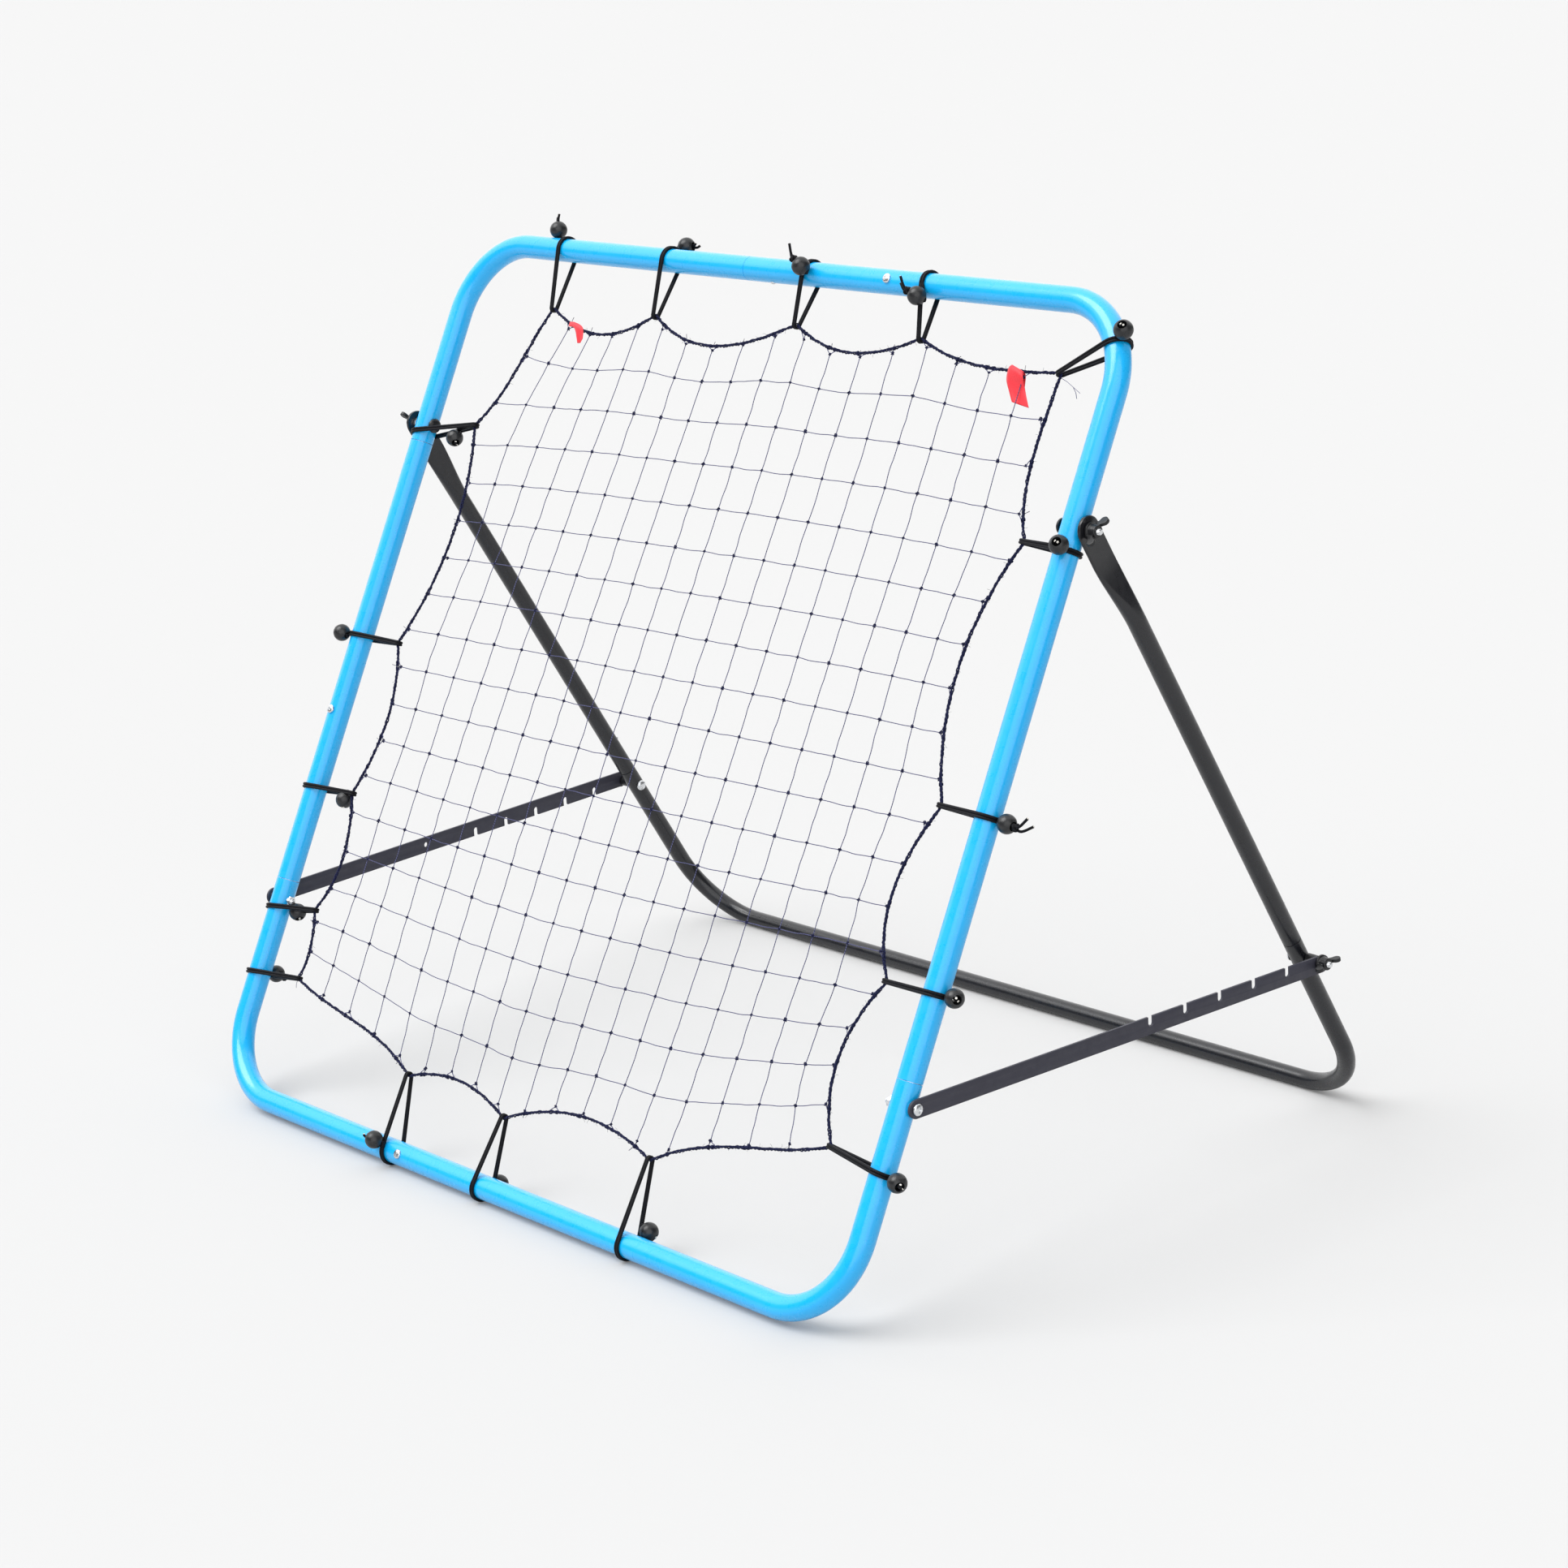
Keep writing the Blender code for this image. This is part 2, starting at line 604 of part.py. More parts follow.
def shrink_border(grid):
    """Move the outer knots inwards, so that the twine lies inside the rope, and inside the
    tie's cord at a corner."""
    side_inset = 1.5 * (ROPE_R + STRAND_R + GAP)
    corner_inset = max(tie_reaches().values()) + 1.6 * (CORD_R + 2 * STRAND_R + GAP)
    out = grid.copy()
    last = NET_MESHES
    for i in range(1, last):
        for row, col, to_row, to_col in ((0, i, 1, i), (last, i, last - 1, i),
                                         (i, 0, i, 1), (i, last, i, last - 1)):
            step = grid[to_row, to_col] - grid[row, col]
            out[row, col] = grid[row, col] + step / np.linalg.norm(step) * side_inset
    for row, col in ((0, 0), (0, last), (last, 0), (last, last)):
        step = grid[last // 2, last // 2] - grid[row, col]
        out[row, col] = grid[row, col] + step / np.linalg.norm(step) * corner_inset
    return out


def block_ring(row, col):
    """Grid places round one block of net squares, with every knot along the net's border."""
    low, right = row + NET_THIN, col + NET_THIN
    left_side = [(r, col) for r in range(row, low, 1 if col == 0 else NET_THIN)]
    bottom = [(low, c) for c in range(col, right, 1 if low == NET_MESHES else NET_THIN)]
    right_side = [(r, right) for r in range(low, row, -1 if right == NET_MESHES else -NET_THIN)]
    top = [(row, c) for c in range(right, col, -1 if row == 0 else -NET_THIN)]
    return left_side + bottom + right_side + top


def build_net(axes):
    """The twine as one lattice: a square grid whose edges become square strands."""
    grid = shrink_border(net_grid())
    starts = range(0, NET_MESHES, NET_THIN)
    rings = [block_ring(row, col) for row in starts for col in starts]
    bm = bmesh.new()
    knots = {place: bm.verts.new(frame_point(*grid[place])) for place in sorted(set(sum(rings, [])))}
    for ring in rings:
        bm.faces.new([knots[place] for place in ring])
    net = add_object("net_mesh", mesh_from(bm, "net_mesh"),
                     material("navy_twine", TWINE_NAVY, 0.8), axes)
    wires = net.modifiers.new("strands", "WIREFRAME")
    wires.thickness = 2 * STRAND_R
    wires.use_even_offset = False
    wires.use_boundary = True
    return net


def rope_outline():
    """The border rope, clockwise from the top left corner: a point at each mesh and hook."""
    border = border_curves()
    path = []
    for side in ("top", "right", "bottom", "left"):
        marks = sorted({*range(NET_MESHES + 1), *HOOK_MESH[side]})
        points = [border[side](t) for t in marks]
        if side in ("bottom", "left"):
            points.reverse()
        path += points[:-1]
    return path


def build_rope(axes):
    path = [frame_point(x, v) for x, v in rope_outline()]
    mesh = curve_mesh(path, ROPE_R, 1, closed=True)
    add_object("net_border_rope", mesh, material("black_rope", CORD_BLACK, 0.9), axes)


def tie_loop(hook, crossing, square, inner_reach):
    """A cord loop round the frame tube and the rope, in the plane through both and square
    to the net. A slanted tie cuts the tube in a longer oval."""
    hook, crossing = Vector(hook), Vector(crossing)
    out = (crossing - hook).normalized()
    reach = CORD_RING_R / out.dot(square)
    points = []
    for angle in (math.radians(-90 + 30 * i) for i in range(7)):
        spot = crossing + out * reach * math.cos(angle)
        points.append(frame_point(spot.x, spot.y, -CORD_RING_R * math.sin(angle)))
    for angle in (math.radians(90 + 60 * i) for i in range(4)):
        spot = hook + out * inner_reach * math.cos(angle)
        points.append(frame_point(spot.x, spot.y, -TIE_HOOK_R * math.sin(angle)))
    return points


def nearest_on_loop(points, target):
    """The point of a closed run of straight pieces that lies nearest to a target."""
    best = points[0]
    for start, end in zip(points, points[1:] + points[:1]):
        run = end - start
        share = min(max((target - start).dot(run) / run.length_squared, 0), 1)
        spot = start + run * share
        if (spot - target).length < (best - target).length:
            best = spot
    return best


def build_ties(axes):
    """Each tie is one elastic loop with its ball, which hangs on the loop by a short neck."""
    reaches = tie_reaches()
    for name, hook, crossing, (ball_x, ball_v, ball_n), square in tie_points():
        loop = tie_loop(hook, crossing, square, reaches[name])
        ball = frame_point(ball_x, ball_v, ball_n)
        neck = [ball, nearest_on_loop(loop, ball)]
        tie = add_object("bungee_tie_" + name, curve_mesh(loop, CORD_R, 0, closed=True),
                         elastic(), axes)
        join(tie, sphere_mesh("ball", BALL_R, ball))
        join(tie, curve_mesh(neck, CORD_R * 1.2, 0))


# ---------------------------------------------------------------- depth of the whole object
def frame_foot():
    """Middle of the bottom tube, with the middle of the whole depth at y = 0."""
    front = min(v * UP.y + n * FRONT.y - BALL_R for _, _, _, (_, v, n), _ in tie_points())
    back = PIVOT_V * UP.y + LEG_LENGTH * LEG_DOWN.y + LEG_TUBE_R
    return Vector((0, -(front + back) / 2, FRAME_BASE_Z))


def leg_pivot():
    return frame_foot() + PIVOT_V * UP


# ---------------------------------------------------------------- folding leg
def leg_section(a, steps=16):
    """Outline (x, m) of the leg tube at a: flat at the pivot, round further down."""
    fade = min(max((a - FLAT_LENGTH) / FLAT_FADE, 0), 1)
    fade = fade * fade * (3 - 2 * fade)
    half_width = FLAT_HALF_WIDTH
    if a < 0:
        half_width = math.sqrt(max(FLAT_HALF_WIDTH ** 2 - a ** 2, 0))
    centre_x = FLAT_MID_X + LEG_TUBE_SET * fade
    points = []
    for i in range(steps):
        angle = 2 * math.pi * i / steps
        c, s = math.cos(angle), math.sin(angle)
        bulge = math.copysign(min(abs(c) * 2.2, 1.0) * FLAT_THICK / 2, c)
        x = bulge + (LEG_TUBE_R * c - bulge) * fade
        m = half_width * s + (LEG_TUBE_R * s - half_width * s) * fade
        points.append((centre_x + x, m))
    return points


def build_leg_upper(side, sx, axes):
    """The leg's upper tube, pressed flat round its pivot hole."""
    tip = FLAT_HALF_WIDTH
    stations = [-tip * share for share in (0.96, 0.82, 0.54)] + [0, FLAT_LENGTH]
    stations += [FLAT_LENGTH + FLAT_FADE * i / 6 for i in range(1, 7)]
    stations.append(LEG_SEAM_A - GAP / 2)
    bm = bmesh.new()
    rings = [[bm.verts.new((sx * x, m, -a)) for x, m in leg_section(a)] for a in stations]
    for above, below in zip(rings, rings[1:]):
        for i in range(len(above)):
            j = (i + 1) % len(above)
            bm.faces.new((above[i], above[j], below[j], below[i]))
    bm.faces.new(rings[0])
    bm.faces.new(rings[-1])
    name = "leg_tube_upper_" + side
    leg = add_object(name, mesh_from(bm, name), satin_black(), axes)
    overrun = 2 * TUBE_WALL
    bore = cylinder_mesh("bore", LEG_TUBE_R - TUBE_WALL, LEG_SEAM_A - FLAT_LENGTH - FLAT_FADE, 12)
    cut(leg, bore, Matrix.Translation((sx * LEG_X, 0, -LEG_SEAM_A - overrun)))
    x_in, x_out = sorted((sx * (FLAT_MID_X - FLAT_THICK), sx * (FLAT_MID_X + FLAT_THICK)))
    drill_across(leg, x_in, x_out, 0, 0, BOLT_R + HOLE_CLEAR)
    return leg


def build_leg_lower(axes):
    """The floor bar and both lower leg tubes, bent from one piece."""
    half = LEG_X
    corner = half - LEG_BEND_R
    bend_z = -(LEG_LENGTH - LEG_BEND_R)
    left = arc((-corner, bend_z), LEG_BEND_R, 180, 270, 7)
    right = arc((corner, bend_z), LEG_BEND_R, 270, 360, 7)
    seam_z = -(LEG_SEAM_A + GAP / 2)
    outline = [(-half, seam_z), *left, *right, (half, seam_z)]
    leg = hollow_tube("leg_floor_bar", [(x, 0, z) for x, z in outline], LEG_TUBE_R,
                      satin_black(), axes)
    for sx in (-1, 1):
        x_in, x_out = sorted((sx * (half - 2 * LEG_TUBE_R), sx * (half + 2 * LEG_TUBE_R)))
        drill_across(leg, x_in, x_out, 0, -BAR_BOLT_A, BOLT_R + HOLE_CLEAR)
    return leg


def build_leg_sleeves(axes):
    end = BAR_BOLT_A - BOLT_R - SLEEVE_CLEAR
    for side, sx in (("left", -1), ("right", 1)):
        top = Vector((sx * LEG_X, 0, -(LEG_SEAM_A - SLEEVE_REACH)))
        build_sleeve("leg_sleeve_" + side, top, Vector((sx * LEG_X, 0, -end)), LEG_TUBE_R, axes)


# ---------------------------------------------------------------- bolts and wing nuts
def mirrored_along_x(sx, point):
    """Turns a shape's own Z to point outwards on either side of the object."""
    turn = Matrix.Rotation(math.radians(90 * sx), 4, "Y")
    return Matrix.Translation(point) @ turn


def wing_outline():
    """Both wings of a wing nut in the plane of its axis: (sideways, outwards)."""
    middle = WING_NUT_HEIGHT - 0.0007
    right = [(HUB_TOP_R - 0.001, 0.0010), (0.0085, 0.0030), (WING_END_X - 0.0008, 0.0058)]
    right += arc((WING_END_X, middle), WING_END_R, -75, 150, 8)
    right += [(HUB_TOP_R + 0.0008, 0.0076), (0.0035, 0.0070)]
    left = [(-x, y) for x, y in reversed(right)]
    return right + left


def build_wing_nut(name, parent, matrix, spin):
    """A plastic wing nut on its own Z, base at 0, wings turned by spin degrees."""
    top = WING_NUT_HEIGHT
    hub = turned_mesh("hub", [(0, top), (HUB_TOP_R - 0.0008, top), (HUB_TOP_R, top - 0.001),
                              (HUB_TOP_R + 0.0004, 0.0030), (HUB_R, 0.0022), (HUB_R, 0), (0, 0)])
    turn = Matrix.Rotation(math.radians(spin), 4, "Z")
    nut = add_object(name, hub, black_plastic(), parent, matrix @ turn)
    wings = flat_mesh([wing_outline()], WING_THICK)
    wings.transform(Matrix.Rotation(math.radians(90), 4, "X"))
    join(nut, wings)
    bore = cylinder_mesh("bore", BOLT_R + HOLE_CLEAR, 2 * top, 12)
    cut(nut, bore, Matrix.Translation((0, 0, -top / 2)))


def build_washer(name, parent, matrix, outer, thickness):
    profile = ring_profile(BOLT_R + HOLE_CLEAR, outer, 0, thickness)
    add_object(name, turned_mesh(name, profile), zinc(), parent, matrix)


def bolt_profile(head_r, head_h, length):
    """A round head below 0 and a shank up to its length, which ends in a small chamfer."""
    return [(0, length), (BOLT_R * 0.75, length), (BOLT_R, length - BOLT_CHAMFER), (BOLT_R, 0),
            (head_r, 0), (head_r, -head_h * 0.3), (head_r * 0.75, -head_h * 0.8),
            (head_r * 0.4, -head_h), (0, -head_h)]


def build_pivot_set(side, sx, frame_axes, leg_axes):
    """Bolt, spacer washer and wing nut that hold the leg's flat end to the frame."""
    start = sx * (FRAME_IN_X - GAP)
    seat = FLAT_INNER_X + FLAT_THICK + GAP
    reach = seat + WING_NUT_HEIGHT + BOLT_PROUD - FRAME_IN_X + GAP
    bolt = turned_mesh("bolt", bolt_profile(PIVOT_HEAD_R, PIVOT_HEAD_HEIGHT, reach))
    add_object("pivot_bolt_" + side, bolt, zinc(), frame_axes,
               mirrored_along_x(sx, (start, 0, PIVOT_V)))
    washer_x = sx * (FRAME_OUT_X + GAP)
    build_washer("pivot_spacer_" + side, frame_axes, mirrored_along_x(sx, (washer_x, 0, PIVOT_V)),
                 PIVOT_SPACER_R, PIVOT_SPACER)
    spin = {"right": 100, "left": -12}[side]
    build_wing_nut("pivot_wing_nut_" + side, leg_axes, mirrored_along_x(sx, (sx * seat, 0, 0)), spin)


# ---------------------------------------------------------------- notched side bars
def bar_front(sx):
    return frame_foot() + BAR_PIVOT_V * UP + Vector((sx * BAR_FRONT_X, 0, 0))


def bar_rear(sx):
    return leg_pivot() + BAR_BOLT_A * LEG_DOWN + Vector((sx * BAR_REAR_X, 0, 0))


def bar_toe():
    """How far each bar turns outwards towards its rear end."""
    reach = bar_rear(1) - bar_front(1)
    return math.atan2(reach.x, math.hypot(reach.y, reach.z))


def bar_axes_matrix(sx, notch_side):
    """Axes at the bar's front screw: X along the bar to the rear, Y roughly to the object's
    left, Z up. The leg bolt sits in the last notch, off the bar's middle line."""
    reach = bar_rear(sx) - bar_front(sx)
    length = math.hypot(reach.y, reach.z)
    pitch = math.atan2(reach.z, reach.y) - notch_side * math.asin(NOTCH_OFFSET / length)
    turn = Matrix.Rotation(pitch, 4, "X") @ Matrix.Rotation(math.radians(90) - sx * bar_toe(), 4, "Z")
    return Matrix.Translation(bar_front(sx)) @ turn


def bar_length(sx):
    """Front screw to leg bolt, measured along the bar."""
    reach = bar_rear(sx) - bar_front(sx)
    return math.sqrt(reach.length ** 2 - NOTCH_OFFSET ** 2)


def bar_outline(length, notch_side):
    """The bar in its own plane, with round ends and notches open along one edge."""
    half = BAR_HEIGHT / 2
    points = arc((0, 0), half, 270, 90, 10)
    for i in reversed(range(NOTCHES)):
        x = length - i * NOTCH_PITCH
        points.append((x - NOTCH_WIDTH / 2, half))
        points += arc((x, NOTCH_OFFSET), NOTCH_WIDTH / 2, 180, 360, 6)
        points.append((x + NOTCH_WIDTH / 2, half))
    points += arc((length + NOTCH_WIDTH / 2, 0), half, 75, -90, 8)
    return [(x, notch_side * z) for x, z in points]


def build_bar(side, sx, notch_side):
    """One bar with its screw, nut and washers at the front and its wing nut at the rear."""
    axes = add_axes("bar_hinge_" + side, bar_axes_matrix(sx, notch_side))
    length = bar_length(sx)
    outlines = [bar_outline(length, notch_side), circle((0, 0), BOLT_R + BAR_HOLE_CLEAR, 16)]
    if side == "left":
        outlines.append(circle((BAR_SPARE_HOLE, 0), BOLT_R, 12))
    plate = flat_mesh(outlines, BAR_THICK)
    plate.transform(Matrix.Rotation(math.radians(90), 4, "X"))
    add_object("side_bar_" + side, plate, bar_grey(), axes)
    return axes, length


def build_bar_front(side, sx, frame_axes):
    """The screw through the frame tube that the bar turns on, with its washer and nut."""
    washer = mirrored_along_x(sx, (sx * (FRAME_OUT_X + GAP), 0, BAR_PIVOT_V))
    build_washer("bar_washer_" + side, frame_axes, washer, BAR_SCREW_HEAD_R, BAR_WASHER)
    head_seat = BAR_FRONT_X + BAR_THICK / 2 + BAR_SKEW_CLEAR
    nut_seat = FRAME_IN_X - GAP
    shank = head_seat - nut_seat + BAR_NUT_HEIGHT + BOLT_PROUD
    profile = screw_with_shank(BAR_SCREW_HEAD_R, BAR_SCREW_HEAD_HEIGHT, BOLT_R, shank)
    add_object("bar_screw_" + side, turned_mesh("screw", profile), zinc(), frame_axes,
               mirrored_along_x(sx, (sx * head_seat, 0, BAR_PIVOT_V)))
    nut = add_object("bar_nut_" + side, cylinder_mesh("nut", BAR_SCREW_HEAD_R, BAR_NUT_HEIGHT, 6),
                     zinc(), frame_axes, mirrored_along_x(-sx, (sx * nut_seat, 0, BAR_PIVOT_V)))
    bore = cylinder_mesh("bore", BOLT_R + HOLE_CLEAR, 3 * BAR_NUT_HEIGHT, 12)
    cut(nut, bore, Matrix.Translation((0, 0, -BAR_NUT_HEIGHT)))


def build_bar_rear(side, sx, notch_side, leg_axes, bar_axes, length):
    """The leg bolt with its wing nut. The bolt's inner part stays with the leg, and its
    threaded end, spacer and wing nut stay with the bar, so that the two can part."""
    inner = LEG_X - LEG_TUBE_R - GAP
    profile = bolt_profile(LEG_BOLT_HEAD_R, LEG_BOLT_HEAD_HEIGHT, LEG_OUT_X - inner)
    bolt = turned_mesh("bolt", profile)
    add_object("leg_bolt_" + side, bolt, zinc(), leg_axes,
               mirrored_along_x(sx, (sx * inner, 0, -BAR_BOLT_A)))
    outwards = Matrix.Rotation(math.radians(90 * sx), 4, "X")
    face = Vector((length, -sx * BAR_THICK / 2, NOTCH_OFFSET * notch_side))
    base = Matrix.Translation(face) @ outwards
    low = -BAR_THICK - GAP - BAR_SPACER
    top = GAP + WING_NUT_HEIGHT + BOLT_PROUD
    end = turned_mesh("end", [(0, top), (BOLT_R * 0.75, top), (BOLT_R, top - BOLT_CHAMFER),
                              (BOLT_R, low), (0, low)])
    add_object("leg_bolt_end_" + side, end, zinc(), bar_axes, base)
    spacer = ring_profile(BOLT_R + HOLE_CLEAR, BAR_SPACER_R, 0, BAR_SPACER)
    add_object("leg_bolt_spacer_" + side, turned_mesh("spacer", spacer), black_plastic(), bar_axes,
               base @ Matrix.Translation((0, 0, low)))
    build_wing_nut("bar_wing_nut_" + side, bar_axes, base @ Matrix.Translation((0, 0, GAP)), 10)


# ---------------------------------------------------------------- assembly
def build_all():
    clear_scene()
    frame_turn = Matrix.Rotation(-FRAME_LEAN, 4, "X")
    frame_axes = add_axes("frame_plane", Matrix.Translation(frame_foot()) @ frame_turn)
    leg_turn = Matrix.Rotation(LEG_TILT, 4, "X")
    leg_axes = add_axes("leg_hinge", Matrix.Translation(leg_pivot()) @ leg_turn)
    tubes = build_frame(frame_axes)
    build_frame_sleeves(frame_axes)
    build_frame_screws(frame_axes, tubes)
    build_net(frame_axes)
    build_rope(frame_axes)
    build_ties(frame_axes)
    build_leg_lower(leg_axes)
    build_leg_sleeves(leg_axes)
    for side, sx, notch_side in (("left", -1, -1), ("right", 1, 1)):
        build_leg_upper(side, sx, leg_axes)
        build_pivot_set(side, sx, frame_axes, leg_axes)
        bar_axes, length = build_bar(side, sx, notch_side)
        build_bar_front(side, sx, frame_axes)
        build_bar_rear(side, sx, notch_side, leg_axes, bar_axes, length)


build_all()
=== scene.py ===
# %% [markdown]
# # A pitch back rebounder, dressed
# A square frame of blue tube leans back on a folding black leg. A knotted net is held in it by
# elastic ties with plastic balls. The engineering model gives every piece its place and size.
# This script gives each one its fine shape and its finish, and changes no size.

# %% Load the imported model
import math

import bmesh
import bpy
import numpy as np
from mathutils import Matrix, Vector


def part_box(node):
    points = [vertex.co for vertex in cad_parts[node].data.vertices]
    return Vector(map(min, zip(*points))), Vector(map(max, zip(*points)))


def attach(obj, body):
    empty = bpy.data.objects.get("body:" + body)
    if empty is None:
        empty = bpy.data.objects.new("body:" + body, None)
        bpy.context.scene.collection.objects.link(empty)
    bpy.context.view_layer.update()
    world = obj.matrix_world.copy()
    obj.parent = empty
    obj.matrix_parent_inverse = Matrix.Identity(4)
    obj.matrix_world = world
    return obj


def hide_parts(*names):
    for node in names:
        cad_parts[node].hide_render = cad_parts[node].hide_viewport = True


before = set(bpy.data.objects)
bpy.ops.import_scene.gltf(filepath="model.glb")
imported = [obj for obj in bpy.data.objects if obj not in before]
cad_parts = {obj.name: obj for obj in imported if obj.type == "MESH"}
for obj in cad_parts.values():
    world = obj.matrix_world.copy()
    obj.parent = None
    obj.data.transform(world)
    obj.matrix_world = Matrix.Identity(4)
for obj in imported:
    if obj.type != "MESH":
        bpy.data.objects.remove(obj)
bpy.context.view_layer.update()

# %% [markdown]
# ## Directions of the object
# The net's plane leans, and so does the leg. It is far easier to think in their own directions
# than in the room's, so a point of the frame is (x, v, n): sideways, up along the side tubes, and
# out of the front of the net. A point of the leg is (x, a, m): sideways, down along the leg from
# its pivot, and backwards. Both start from the pivot bolt, whose place the model gives.

# %% Name the frame's and the leg's directions
FRAME_SPAN = 0.975          # centre to centre of opposite frame tubes
FRAME_TUBE_R = 0.0125
FRAME_LEAN = math.radians(28.2)
PIVOT_V = 0.7616            # leg pivot's height along the frame
BAR_PIVOT_V = 0.212         # front screws of the side bars
BAR_BOLT_A = 0.5645         # leg bolts, down the leg from the pivot
HALF = FRAME_SPAN / 2
SIDES = {"left": -1, "right": 1}     # each side of the object and the sign of its X

SIDEWAYS = Vector((1, 0, 0))
UP = Vector((0, math.sin(FRAME_LEAN), math.cos(FRAME_LEAN)))
FRONT = Vector((0, -math.cos(FRAME_LEAN), math.sin(FRAME_LEAN)))


def middle(node):
    """The middle of a node's box, on the object's own middle plane."""
    low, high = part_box(node)
    return Vector((0, (low.y + high.y) / 2, (low.z + high.z) / 2))


PIVOT = middle("pivot_bolt_right")
FOOT = PIVOT - PIVOT_V * UP
LEG_DOWN = (middle("leg_bolt_right") - PIVOT).normalized()
LEG_BACK = Vector((0, -LEG_DOWN.z, LEG_DOWN.y))
LEG_TILT = math.acos(-LEG_DOWN.z)


def frame_spot(x, v, n=0.0):
    return FOOT + float(x) * SIDEWAYS + float(v) * UP + float(n) * FRONT


def leg_spot(x, a, m=0.0):
    return PIVOT + x * SIDEWAYS + a * LEG_DOWN + m * LEG_BACK


print(f"foot at {FOOT.y:.4f}, {FOOT.z:.4f}; leg tilt {math.degrees(LEG_TILT):.2f} degrees")

# %% [markdown]
# ## Small helpers
# A node tree is the same thing for a material and for Geometry Nodes, so one function adds a node
# to either. Colours are written as they look on a screen, in hex, and one function turns them
# into the linear numbers that Blender wants.

# %% Add a node, turn a hex colour to linear, start a material
def feed(node, values):
    """Set or link a node's inputs, by name or number."""
    for key, value in values.items():
        if isinstance(value, bpy.types.NodeSocket):
            node.id_data.links.new(value, node.inputs[key])
        else:
            node.inputs[key].default_value = value
    return node


def add(tree, kind, inputs=None, **settings):
    """Add a node. Settings are its properties, inputs are values or links."""
    made = tree.nodes.new(kind)
    for key, value in settings.items():
        setattr(made, key, value)
    return feed(made, inputs or {})


def maths(tree, operation, *values):
    return add(tree, "ShaderNodeMath", dict(enumerate(values)), operation=operation).outputs[0]


def vectors(tree, operation, *values, **named):
    """The result of a Vector Math node, which is a number for a dot product."""
    made = add(tree, "ShaderNodeVectorMath", dict(enumerate(values)) | named, operation=operation)
    return made.outputs["Value" if operation == "DOT_PRODUCT" else "Vector"]


def linear(hex_colour):
    """#RRGGBB as seen on a screen, as linear red, green, blue and alpha."""
    out = []
    for start in (1, 3, 5):
        level = int(hex_colour[start:start + 2], 16) / 255
        out.append(level / 12.92 if level <= 0.04045 else ((level + 0.055) / 1.055) ** 2.4)
    return (*out, 1.0)


def new_material(name):
    material = bpy.data.materials.new(name)
    material.use_nodes = True
    return material, material.node_tree, material.node_tree.nodes["Principled BSDF"]


# %% [markdown]
# ## Finishes
# Every finish starts from what it is and how it was made. Powder coat is sprayed on as dust and
# melted, which leaves the fine dimples called orange peel. All of its patterns read Object
# coordinates, in metres, so a pattern that repeats every `size` millimetres has the scale 1000 /
# size.

# %% Noise in millimetres, and the coats of paint
def grain(tree, size, detail=2.0):
    """A noise whose lumps are about `size` millimetres wide."""
    place = add(tree, "ShaderNodeTexCoord").outputs["Object"]
    return add(tree, "ShaderNodeTexNoise", {"Vector": place, "Scale": 1000 / size,
                                            "Detail": detail}).outputs["Fac"]


def spread(tree, value, low, high, start=0.3, end=0.7):
    """Stretch a noise value between two levels."""
    return add(tree, "ShaderNodeMapRange", {"Value": value, "From Min": start, "From Max": end,
                                            "To Min": low, "To Max": high}).outputs["Result"]


def blend(tree, share, first, second):
    """Mix two colours, each a hex or an earlier mix."""
    ends = [linear(end) if isinstance(end, str) else end for end in (first, second)]
    return add(tree, "ShaderNodeMix", {0: share, 6: ends[0], 7: ends[1]},
               data_type="RGBA").outputs[2]


def dimples(tree, height, depth, strength=1.0):
    """Bump of a real depth in millimetres."""
    return add(tree, "ShaderNodeBump", {"Height": height, "Distance": depth / 1000,
                                        "Strength": strength}).outputs[0]


def coat_of_paint(name, base, worn, roughness, gloss, peel_size, peel_depth):
    """Powder coat: orange peel, a slow change of tone, and dust and rub marks in the gloss."""
    material, tree, shader = new_material(name)
    toned = blend(tree, spread(tree, grain(tree, 55), 0.0, 0.35), base, worn)
    specks = spread(tree, grain(tree, 2.6, 4.0), 0.0, 1.0, 0.72, 0.80)
    rubbed = spread(tree, grain(tree, 9, 5.0), roughness - 0.06, roughness + 0.10)
    feed(shader, {"Base Color": blend(tree, specks, toned, worn), "Roughness": rubbed,
                  "Coat Weight": gloss, "Coat Roughness": 0.12,
                  "Normal": dimples(tree, grain(tree, peel_size, 1.0), peel_depth, 0.5)})
    return material


BLUE_COAT = coat_of_paint("sky_blue_powder_coat", "#08B0F4", "#14B8FA", 0.28, 0.6, 1.6, 0.005)
BLACK_COAT = coat_of_paint("black_satin_powder_coat", "#101116", "#1B1D24", 0.28, 0.25, 1.4, 0.01)
GREY_COAT = coat_of_paint("dark_grey_matt_powder_coat", "#32323E", "#3E3E4A", 0.55, 0.0, 0.9, 0.04)

# %% [markdown]
# Moulded plastic takes the faint spark-eroded texture of its mould. Zinc plate is a bright metal
# with a slightly cloudy sheen. A metal keeps the default IOR, and its colour is its reflection.

# %% Moulded plastics, zinc plate and the cord's rubber core
def moulded_plastic(name, base, rubbed, roughness):
    material, tree, shader = new_material(name)
    wear = spread(tree, grain(tree, 5, 4.0), 0.0, 1.0, 0.45, 0.75)
    feed(shader, {"Base Color": blend(tree, wear, base, rubbed),
                  "Roughness": spread(tree, grain(tree, 3), roughness - 0.05, roughness + 0.12),
                  "Normal": dimples(tree, grain(tree, 0.5, 1.0), 0.02, 0.6)})
    return material


